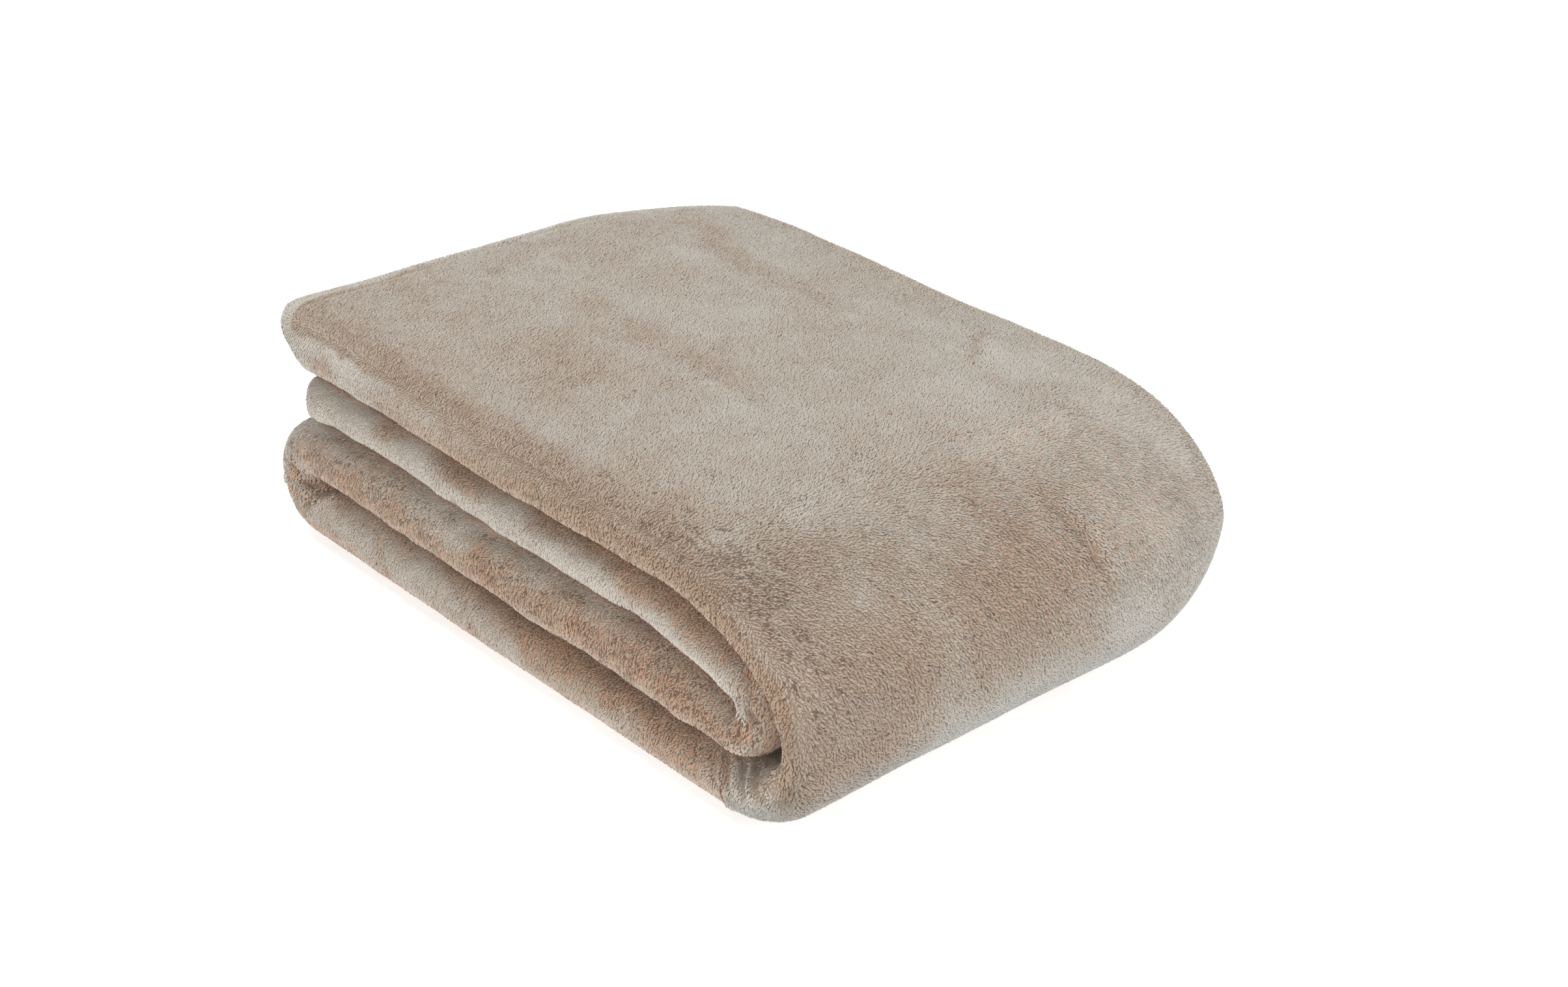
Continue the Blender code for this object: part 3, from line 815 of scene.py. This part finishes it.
def nap_and_shade_tone(p, run=None, along=None, across=None):
    """The tone of the nap from 0, brown and standing, to 1, pale and lying, with painted sheen and painted shade in it.
    """
    tone = 0.06 * noise(p, 52, 31) + 0.07 * noise(p, 22, 32) + 0.055 * noise(p, 9, 33)
    if run is None:
        return np.clip(0.6 + tone, 0, 1)
    # The patches' outlines are cloudy.
    u = along + 5.0 * noise(p, 24, 34) + 2.5 * noise(p, 9, 35)
    v = across + 4.0 * noise(p, 20, 36) + 1.8 * noise(p, 8, 37)
    for k, name in enumerate(RUNS):
        mine = run == k
        tone[mine] += NAP_BASE[name] + patches(NAP_AND_SHADE[name], u[mine], v[mine])
        # Painted shade in the creases and dents, and a few paler marks.
        tone[mine] += patches(CREASES[name], along[mine], across[mine])
    # Outside the crest, along the front edge and round the free end, the nap lies smooth.
    ragged = 3.0 * noise(p, 6, 40) + 2.0 * noise(p, 13, 43)
    edge = np.maximum(ease((-156.5 - across - 0.5 * ragged) / 3.0), ease((-206.0 - u) / 4.0)) * ease((290.0 - along) / 40.0)
    # Painted shade in part: the rim's tone falls toward the outer fold.
    rim_tone = np.where(u < -204.0, 0.70, np.interp(along, *np.array(RIM_TONE).T) - 0.28 * ease((-163.0 - across) / 10.0))
    smooth_tone = rim_tone + 0.12 * noise(p, 23, 38) + 0.12 * noise(p, 7, 39)
    tone = between(tone, smooth_tone, np.where(run == 0, edge, 0.0))
    tone -= np.where(run == 3, 0.5 * np.maximum(tone - 0.68, 0.0), 0.0)
    # Painted shade in the grooves and a painted highlight on the ridges, partly the brown of the standing pile in
    # grooves and the pale of the lying pile on ridges.
    tone += np.clip(0.085 * relief(p, run, along, across), -0.28, 0.16)
    return np.clip(tone, 0, 1)


def crack_shade_of(run, along, across, stand):
    """The share of the tufts painted dark, as the shade in a gap between nubs, where the pile stands."""
    # They gather in lines aslant on the fold, and are commonest at its front corner.
    u, v = along + 0.35 * across, across - 0.35 * along
    lines = noise(np.stack([u / 11.0, v / 3.4, 0 * along], -1), 1.0, 71)
    common = 0.14 + 0.86 * np.exp(-(((along - 160.0) / 70.0) ** 2) - ((across + 138.0) / 20.0) ** 2)
    common = np.where(run == 2, 0.55, np.where(run == 0, common, 0.12))
    return np.where(run < 9, 0.50 * common * ease((lines + 0.15) / 0.5) * ease(stand / 0.45), 0.0)


# along, share: toward the foot of the outer fold, where the pile turns away and down, a darker, cooler grey is painted
# as shade
FOOT_SHADE = (
    (220.0, 0.0),
    (230.0, 0.12),
    (240.0, 0.34),
    (262.0, 0.46),
    (272.0, 0.55),
    (282.0, 0.80),
    (292.0, 1.0),
)


def warm_shade_of(run, along, across, depth, tone):
    """The share of the tufts given the warm tint of painted shade: deep between the runs, on the rolls' brown standing
    pile, and on the right of the fold, which is turned from the lamps.
    """
    crevice_shade = ease((0.56 - depth) / 0.34)
    right = 0.18 * np.exp(-(((along - 185.0) / 75.0) ** 2) - ((across - 60.0) / 85.0) ** 2)
    crevice_shade = crevice_shade * np.where(run == 9, 0.5, np.where(run == 1, 0.7, np.where(run == 0, ease((245.0 - along) / 40.0), 1.0)))
    brown = np.where(run == 9, 0.0, 0.30 * ease((0.55 - tone) / 0.25))
    return np.maximum(crevice_shade, np.where(run == 0, right, brown))


def stand_of(run, along, across, tone):
    """How far the pile stands up and draws into nubs, from 0 to 1."""
    fold = ease((along - 70.0) / 110.0) * ease((285.0 - along) / 40.0) * ease((across + 166.0) / 10.0)
    corner = np.exp(-(((along - 175.0) / 60.0) ** 2) - ((across + 138.0) / 16.0) ** 2)
    stand = 0.9 * (0.72 - tone) + np.where(run == 0, 0.42 * fold + 0.35 * corner, np.where(run == 2, 0.3, 0.1))
    return np.clip(stand, 0, 1)


def lie_of(normal, run, along, across, tone):
    """The way the pile leans: back over the top, and down round the fold and the rolled edges."""
    top = run == 0
    heading = np.radians(112.0 + 60.0 * (tone - 0.6))
    x, y = np.cos(heading), np.sin(heading)
    fold = np.where(top, ease((along - 95.0) / 110.0), 0.0)
    x, y = between(x, 0.86, fold), between(y, 0.52, fold)
    back = np.where(top, ease((across - 112.0) / 24.0), 0.0)
    x, y = between(x, -0.1, back), between(y, 1.0, back)
    front = np.where(top, ease((-151.0 - across) / 12.0), 1.0)
    x, y = between(x, 0.12, front), between(y, -1.0, front)
    down = -1.6 * np.clip(-normal[:, 1], 0, 1) - np.clip(normal[:, 1], 0, 1) - np.abs(normal[:, 0])
    way = np.stack([x, y, down], -1)
    way -= (way * normal).sum(-1, keepdims=True) * normal
    return unit(way)


def turned(way, normal, angle):
    side = np.cross(normal, way)
    return way * np.cos(angle)[:, None] + side * np.sin(angle)[:, None]


def nubs(at, normal, way, size, seed):
    """The nub each tuft belongs to: the way to its middle, how far inside it the tuft is, and two values of its own."""
    base = np.floor(at / size).astype(np.int64)
    first = np.full(len(at), 9e9)
    second = first.copy()
    middle = np.zeros_like(at)
    own = np.zeros((2, len(at)))
    for step in np.ndindex(3, 3, 3):
        cell = base + np.array(step) - 1
        shift = [0.5 + 0.5 * lattice(*cell.T, seed + k) for k in range(3)]
        gap = (cell + np.stack(shift, -1)) * size - at
        # Nubs are longer the way the pile leans.
        far = (gap**2).sum(-1) - 0.6 * (gap * way).sum(-1) ** 2
        near = far < first
        second = np.where(near, first, np.minimum(second, far))
        first = np.where(near, far, first)
        middle[near] = gap[near]
        own[0][near] = shift[0][near] * 2 - 1
        own[1][near] = shift[1][near] * 2 - 1
    middle -= (middle * normal).sum(-1, keepdims=True) * normal
    inside = np.clip((np.sqrt(second) - np.sqrt(first)) / (0.4 * size), 0, 1)
    return middle, inside, own


# ============================ materials ====================================================
def nodes_of(name):
    material = bpy.data.materials.new(name)
    material.use_nodes = True
    tree = material.node_tree
    return material, tree, tree.nodes["Principled BSDF"]


def ramp(tree, rows, fac):
    node = tree.nodes.new("ShaderNodeValToRGB")
    stops = node.color_ramp.elements
    while len(stops) < len(rows):
        stops.new(0.5)
    for stop, (at, colour) in zip(stops, rows):
        stop.position, stop.color = at, (*colour, 1.0)
    tree.links.new(fac, node.inputs["Fac"])
    return node.outputs["Color"]


def attribute(tree, name):
    node = tree.nodes.new("ShaderNodeAttribute")
    node.attribute_name = name
    return node.outputs["Fac"]


TIP_TONES = (
    (0.0, (0.505, 0.358, 0.242)),
    (0.3, (0.483, 0.388, 0.293)),
    (0.6, (0.495, 0.468, 0.410)),
    (0.8, (0.558, 0.520, 0.461)),
    (1.0, (0.580, 0.538, 0.478)),
)
# Painted shade: the warm tint of light bounced deep between the folds.
SHADE_WARM_TINT = (1.21, 0.94, 0.83)
# Painted shade: the darker, cooler grey toward the foot of the outer fold.
SHADE_COOL_TINT = (0.62, 0.68, 0.745)
# Painted shade: the tufts' roots and the ground between them, darker than the tips.
ROOT_SHADE_TONES = (
    (0.0, (0.15, 0.092, 0.061)),
    (0.5, (0.31, 0.225, 0.165)),
    (1.0, (0.47, 0.42, 0.36)),
)


def plush_shader(shader):
    shader.inputs["Roughness"].default_value = 0.85
    shader.inputs["Specular IOR Level"].default_value = 0.25
    shader.inputs["Sheen Weight"].default_value = 0.35
    shader.inputs["Sheen Roughness"].default_value = 0.45
    shader.inputs["Sheen Tint"].default_value = (0.93, 0.95, 0.93, 1.0)


def pile_material():
    material, tree, shader = nodes_of("plush_pile")
    plush_shader(shader)
    tone, along = attribute(tree, "tone"), attribute(tree, "along")
    # Painted shade: the along value mixes from the dark root tones to the tip's tone.
    mix = tree.nodes.new("ShaderNodeMix")
    mix.data_type = "RGBA"
    tree.links.new(along, mix.inputs["Factor"])
    tree.links.new(ramp(tree, ROOT_SHADE_TONES, tone), mix.inputs["A"])
    tree.links.new(ramp(tree, TIP_TONES, tone), mix.inputs["B"])
    # Painted shade: a warm tint deep between the folds and where the fold is turned from the lamps.
    tint = tree.nodes.new("ShaderNodeMix")
    tint.data_type = "RGBA"
    tint.blend_type = "MULTIPLY"
    tint.inputs["B"].default_value = (*SHADE_WARM_TINT, 1.0)
    tree.links.new(attribute(tree, "warm_shade"), tint.inputs["Factor"])
    tree.links.new(mix.outputs["Result"], tint.inputs["A"])
    # Painted shade: a darker, cooler grey toward the foot of the outer fold.
    cool_shade = tree.nodes.new("ShaderNodeMix")
    cool_shade.data_type = "RGBA"
    cool_shade.blend_type = "MULTIPLY"
    cool_shade.inputs["B"].default_value = (*SHADE_COOL_TINT, 1.0)
    tree.links.new(attribute(tree, "cool_shade"), cool_shade.inputs["Factor"])
    tree.links.new(tint.outputs["Result"], cool_shade.inputs["A"])
    tree.links.new(cool_shade.outputs["Result"], shader.inputs["Base Color"])
    return material


def cloth_material():
    material, tree, shader = nodes_of("plush_ground")
    plush_shader(shader)
    tone = attribute(tree, "tone")
    links = tree.links
    place = tree.nodes.new("ShaderNodeTexCoord")
    fibre = tree.nodes.new("ShaderNodeTexNoise")
    fibre.inputs["Scale"].default_value = 900.0
    fibre.inputs["Detail"].default_value = 3.0
    links.new(place.outputs["Object"], fibre.inputs["Vector"])
    clump = tree.nodes.new("ShaderNodeTexVoronoi")
    clump.inputs["Scale"].default_value = 520.0
    links.new(place.outputs["Object"], clump.inputs["Vector"])
    mix = tree.nodes.new("ShaderNodeMix")
    mix.data_type = "RGBA"
    share = tree.nodes.new("ShaderNodeMath")
    share.operation = "MULTIPLY"
    share.inputs[1].default_value = 0.35
    links.new(fibre.outputs["Fac"], share.inputs[0])
    links.new(share.outputs["Value"], mix.inputs["Factor"])
    # The ground under the tufts is mostly the root tones: painted shade beneath the pile.
    links.new(ramp(tree, ROOT_SHADE_TONES, tone), mix.inputs["A"])
    links.new(ramp(tree, TIP_TONES, tone), mix.inputs["B"])
    links.new(mix.outputs["Result"], shader.inputs["Base Color"])
    bump = tree.nodes.new("ShaderNodeBump")
    bump.inputs["Strength"].default_value = 0.6
    bump.inputs["Distance"].default_value = 0.0008
    links.new(clump.outputs["Distance"], bump.inputs["Height"])
    links.new(bump.outputs["Normal"], shader.inputs["Normal"])
    return material


def plain(name, colour, roughness, glow=0.0):
    material, tree, shader = nodes_of(name)
    shader.inputs["Base Color"].default_value = (*colour, 1.0)
    shader.inputs["Roughness"].default_value = roughness
    shader.inputs["Specular IOR Level"].default_value = 0.0
    if glow:
        shader.inputs["Emission Color"].default_value = (*colour, 1.0)
        shader.inputs["Emission Strength"].default_value = glow
    return material


# ============================ building =====================================================
def keep(data, name, values):
    data.attributes.new(name, "FLOAT", "POINT").data.foreach_set("value", values.astype(np.float32).ravel())


def build_cloth(p, q):
    data, places, faces, points = cloth_mesh(p, q)
    layer = data.uv_layers.new(name="OFBake", do_init=False)
    layer.uv.foreach_set("vector", places.astype(np.float32).ravel())
    cloth = bpy.data.objects.new("throw_cloth", data)
    bpy.context.scene.collection.objects.link(cloth)
    return cloth, faces, points


def tuft_piece(name, tufts, material):
    """One mesh of tufts. Each is a narrow kite folded along its ridge: root, two sides and a raised tip."""
    at, n, d, out = (tufts[k] for k in ("at", "normal", "way", "out"))
    s = np.cross(n, d)
    length, width, rise, curl = (tufts[k][:, None] for k in ("length", "width", "rise", "curl"))
    root = at - 0.45 * length * d - 0.4 * curl * s + 0.05 * n
    tip = at + 0.55 * length * d + 0.6 * curl * s + (rise + 0.45) * n
    # Widest near the tip, so that its end is blunt.
    waist = at + 0.15 * length * d + (0.62 * rise + 0.40 - 0.25 * width) * n + 0.35 * curl * s
    left, right = waist + 0.5 * width * s, waist - 0.5 * width * s
    count = len(at)
    points = np.stack([root, right, tip, left], 1).reshape(-1, 3)
    points[:, 2] = np.maximum(points[:, 2], -0.25)
    base = 4 * np.arange(count)[:, None]
    faces = np.stack([base + [0, 1, 2], base + [0, 2, 3]], 1).reshape(-1, 3)
    data = new_mesh(name, points, faces, 3)
    normals = np.stack(
        [unit(n - 0.3 * d + out), unit(n - 0.45 * s + out), unit(n + 0.35 * d + out), unit(n + 0.45 * s + out)], 1
    ).reshape(-1, 3)
    data.normals_split_custom_set_from_vertices(normals.astype(np.float32))
    tone = np.repeat(tufts["tone"], 4)
    keep(data, "tone", tone)
    # Painted shade: darkest at the root, lighter at the sides, lightest at the tip, and darker again in cracks and at
    # nub borders.
    unshaded_share = np.tile([0.0, 0.62, 1.0, 0.62], count) * np.repeat(tufts["shade"], 4)
    keep(data, "along", unshaded_share)
    warm_shade, cool_shade = np.repeat(tufts["warm_shade"], 4), np.repeat(tufts["cool_shade"], 4)
    keep(data, "warm_shade", warm_shade)
    keep(data, "cool_shade", cool_shade)
    # Four bands of the OFBake map: plain, warm shade, half cool shade and cool shade.
    band = warm_shade + np.where(cool_shade > 0, 1 + 2 * cool_shade, 0)
    corner = faces.ravel()
    u = 0.02 + 0.95 * tone + np.tile([0.0, 0.004, 0.0, -0.004], count)
    layer = data.uv_layers.new(name="OFBake", do_init=False)
    layer.uv.foreach_set(
        "vector", np.stack([u[corner], 0.01 + 0.23 * unshaded_share[corner] + 0.25 * band[corner]], -1).astype(np.float32).ravel()
    )
    data.materials.append(material)
    piece = bpy.data.objects.new(name, data)
    bpy.context.scene.collection.objects.link(piece)
    return piece


def main():
    for thing in list(bpy.data.objects):
        bpy.data.objects.remove(thing, do_unlink=True)
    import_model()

    p, q, stations = cloth_sides()
    run, along, across = own_places(stations, p)
    grid_run = np.repeat(run[:, None], p.shape[1], 1)
    grid_along, grid_across = np.meshgrid(along, across, indexing="ij")
    p, q = free_end(soften(p)), free_end(soften(q))
    np_, nq = facing(grid_normals(p), p, q), facing(grid_normals(q), q, p)
    p, q = p - PILE * np_, q - PILE * nq
    smooth_p = p
    p = p + (relief(p, grid_run, grid_along, grid_across, 3.0) * (grid_across > -200.0))[..., None] * np_
    cloth, faces, points = build_cloth(p, q)
    print("cloth", p.shape, "triangles", 2 * len(faces))

    tree = BVHTree.FromPolygons(points.tolist(), faces.tolist(), all_triangles=False)
    open_p = openness(p, np_, tree, 12, 90.0)
    open_q = openness(q, nq, tree, 12, 90.0)

    # tone on the sheet
    loop, rim_points, rim_out = rim(p, q)
    tone = np.concatenate(
        [nap_and_shade_tone(p, grid_run, grid_along, grid_across).ravel(), nap_and_shade_tone(q).ravel(), nap_and_shade_tone(rim_points)]
    )
    keep(cloth.data, "tone", tone)
    cloth.data.materials.append(cloth_material())

    # The lip of the cloth is a grid of its own: one side, the middle and the other side, all round.
    rows, columns = np.array(loop + loop[:1]).T
    lip = np.stack([p[rows, columns], np.concatenate([rim_points, rim_points[:1]]), q[rows, columns]], 1)
    outward = np.concatenate([rim_out, rim_out[:1]])
    lip_normals = unit(
        np.stack([np_[rows, columns] + 0.5 * outward, outward, nq[rows, columns] + 0.5 * outward], 1)
    )
    open_lip = openness(lip, lip_normals, tree, 12, 90.0)
    parts = [(smooth_p, np_, open_p, 1), (q, nq, open_q, 2), (lip, lip_normals, open_lip, 3)]
    material = pile_material()
    gathered = []
    for grid, normal, free, number in parts:
        d_i, d_j = grid[1:, :-1] - grid[:-1, :-1], grid[:-1, 1:] - grid[:-1, :-1]
        area = np.linalg.norm(np.cross(d_i, d_j), axis=-1)
        shown = (free[:-1, :-1] + free[1:, :-1] + free[:-1, 1:] + free[1:, 1:]) / 4
        low = (grid[:-1, :-1, 2] < 6.0) & (normal[:-1, :-1, 2] < -0.85)
        weight = area * ease((shown - 0.03) / 0.12) * ~low
        gathered.append((grid, normal, free, number, weight))
        print("patch", number, "area", area.sum(), "shown", weight.sum())
    total = sum(g[4].sum() for g in gathered)
    wanted = 398000
    made = []
    for grid, normal, free, number, weight in gathered:
        count = int(wanted * weight.sum() / total)
        i, j, a, b, rng = scattered(weight, count, SEED + number)
        at = on_grid(grid, i, j, a, b)
        n = unit(on_grid(normal, i, j, a, b))
        if number == 1:
            own = run[i], along[i] * (1 - a) + along[i + 1] * a, across[j] * (1 - b) + across[j + 1] * b
        else:
            own = np.full(count, 9), np.zeros(count), np.zeros(count)
        if number == 1:
            ahead = unit(on_grid(np.gradient(grid, axis=0), i, j, a, b))
            beside = unit(on_grid(np.gradient(grid, axis=1), i, j, a, b))
            h = 0.5
            slope = relief(at + h * ahead, own[0], own[1] + h, own[2]) - relief(at - h * ahead, own[0], own[1] - h, own[2])
            tilt = relief(at + h * beside, own[0], own[1], own[2] - h) - relief(
                at - h * beside, own[0], own[1], own[2] + h
            )
            at = at + (relief(at, *own) * (own[2] > -200.0))[:, None] * n
            n = unit(n - (slope / (2 * h))[:, None] * ahead - (tilt / (2 * h))[:, None] * beside)
        tone = nap_and_shade_tone(at, *own) if number == 1 else nap_and_shade_tone(at) + (0.2 if number == 3 else 0.0)
        # Painted shade: deep between the runs, where the folds hide most of the room, the pile's tone is lowered to a
        # darker brown.
        crevice_shade = np.where(own[0] == 2, 0.0, 0.58)
        depth = on_grid(free, i, j, a, b)
        tone = np.clip(tone - crevice_shade * ease((0.38 - depth) / 0.32), 0, 1)
        # Painted shade: toward the foot of the outer fold a share of the tufts take a darker, cooler grey.
        share = np.interp(own[1], *np.array(FOOT_SHADE).T) * (1 + 0.3 * ease((-85.0 - own[2]) / 40.0))
        # Not on its rolled front edge, which is as brown as the runs beside it.
        share = share * ease((own[2] + 172.0) / 14.0)
        cool_shade = np.floor(2 * share + rng.random(count)).clip(0, 2) / 2
        cool_shade = np.where(own[0] == 0, cool_shade, 0.0)
        # Painted shade: a share of the tufts take the warm tint of the shade between the folds.
        warm_shade = (rng.random(count) < warm_shade_of(*own, depth, tone)) * (cool_shade == 0)
        stand = stand_of(*own, tone)
        # Painted shade: some tufts are made dark, as the shade in the cracks between nubs.
        crack_shade = (rng.random(count) < crack_shade_of(*own, stand)).astype(float)
        way = lie_of(n, *own, tone)
        if number == 3:
            # On the hem it lies back along the edge.
            way = np.array([-0.25, 1.0, -0.35]) - (n @ np.array([-0.25, 1.0, -0.35]))[:, None] * n
            way = unit(way)
        jitter = rng.uniform(-0.35, 0.35, (count, 2))
        side = np.cross(n, way)
        at = at + jitter[:, :1] * way + jitter[:, 1:] * side
        bend = 0.25 * noise(at, 30, 41) + (0.4 + 0.5 * stand) * noise(at, 4.5, 42)
        bend += (0.15 + 0.25 * stand) * rng.standard_normal(count)
        # Tips draw together into nubs, with cracks between them.
        middle, inside, own_nub = nubs(at, n, way, CLUMP, 50)
        way = turned(way, n, (0.45 + 0.3 * stand) * own_nub[0])
        side = np.cross(n, way)
        force = 0.2 + 0.8 * stand
        aside = (middle * side).sum(-1)
        at = at + (0.35 * force * aside)[:, None] * side + (0.12 * crack_shade)[:, None] * n
        made.append(
            {
                "at": at,
                "normal": n,
                "way": way,
                "length": (2.0 + 0.25 * rng.standard_normal(count)).clip(1.3, 2.8),
                "width": (0.92 + 0.10 * rng.standard_normal(count)).clip(0.65, 1.2) * (1 - 0.35 * crack_shade),
                "rise": (0.30 + 0.35 * stand + 0.5 * force * (inside - 0.5) + 0.08 * rng.standard_normal(count)).clip(
                    0.0, 0.9
                ),
                "curl": 0.25 * rng.standard_normal(count) + 0.4 * force * aside,
                "warm_shade": warm_shade.astype(float),
                "cool_shade": cool_shade,
                # Painted shade: the tone falls toward the nubs' borders and in the cracks.
                "tone": np.clip(
                    tone
                    + force * (0.06 - 0.32 * (1 - inside) ** 2)
                    - 0.40 * crack_shade
                    + 0.05 * own_nub[1]
                    + 0.06 * rng.standard_normal(count),
                    0,
                    1,
                ),
                "out": (-0.35 * force * aside)[:, None] * side,
                # Painted shade: toward the root tones in the cracks and at the nubs' borders.
                "shade": np.clip(1 - 0.95 * crack_shade - 0.22 * force * (1 - inside) ** 2, 0, 1),
            }
        )
    tufts = {k: np.concatenate([part[k] for part in made]) for k in made[0]}
    # Pieces by place, as equal in number as they can be.
    order = np.argsort(tufts["at"][:, 0] - 0.2 * tufts["at"][:, 1], kind="stable")
    pieces = []
    for k, chosen in enumerate(np.array_split(order, 4)):
        pieces.append(tuft_piece(f"throw_pile_{k + 1}", {name: v[chosen] for name, v in tufts.items()}, material))
    for piece in (cloth, *pieces):
        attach(piece, "root")
    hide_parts("throw")

    floor_mesh = bpy.data.meshes.new("floor")
    floor_mesh.from_pydata([(-6, -6, 0), (6, -6, 0), (6, 6, 0), (-6, 6, 0)], [], [(0, 1, 2, 3)])
    floor_mesh.materials.append(plain("pale_floor", (0.93, 0.93, 0.93), 0.9, 0.5))
    floor = bpy.data.objects.new("floor", floor_mesh)
    floor.location.z = -0.0004
    bpy.context.scene.collection.objects.link(floor)

    world = bpy.data.worlds.new("studio")
    bpy.context.scene.world = world
    world.use_nodes = True
    world.node_tree.nodes["Background"].inputs["Color"].default_value = (1.0, 1.0, 1.0, 1.0)
    world.node_tree.nodes["Background"].inputs["Strength"].default_value = 0.67
    for name, place, target, size, power in (
        ("key", (-0.5, -0.2, 1.5), (0, 0, 0.05), 0.9, 8.3),
        ("fill", (0.7, -1.5, 0.6), (0, 0, 0.05), 1.6, 11.0),
        ("side", (1.6, 0.2, 1.0), (0, 0, 0.05), 1.0, 11.0),
    ):
        light = bpy.data.lights.new(name, "AREA")
        light.shape, light.size, light.energy = "DISK", size, power
        lamp = bpy.data.objects.new(name, light)
        lamp.location = place
        lamp.rotation_mode = "QUATERNION"
        lamp.rotation_quaternion = (Vector(target) - Vector(place)).to_track_quat("-Z", "Y")
        bpy.context.scene.collection.objects.link(lamp)

    camera_data = bpy.data.cameras.new("camera")
    camera = bpy.data.objects.new("camera", camera_data)
    bpy.context.scene.collection.objects.link(camera)
    azimuth, elevation, distance = math.radians(48.73), math.radians(27.02), 1.28328
    target = Vector((0.00720, 0.01899, 0.04605))
    back = Vector(
        (math.sin(azimuth) * math.cos(elevation), -math.cos(azimuth) * math.cos(elevation), math.sin(elevation))
    )
    camera.location = target + back * distance
    camera.rotation_mode = "QUATERNION"
    camera.rotation_quaternion = (-back).to_track_quat("-Z", "Y")
    camera_data.sensor_width = 36.0
    camera_data.lens = 3660.0 / 2408.0 * 36.0
    camera_data.clip_start, camera_data.clip_end = 0.05, 50.0
    bpy.context.scene.camera = camera
    bpy.context.scene.view_settings.view_transform = "Standard"


main()
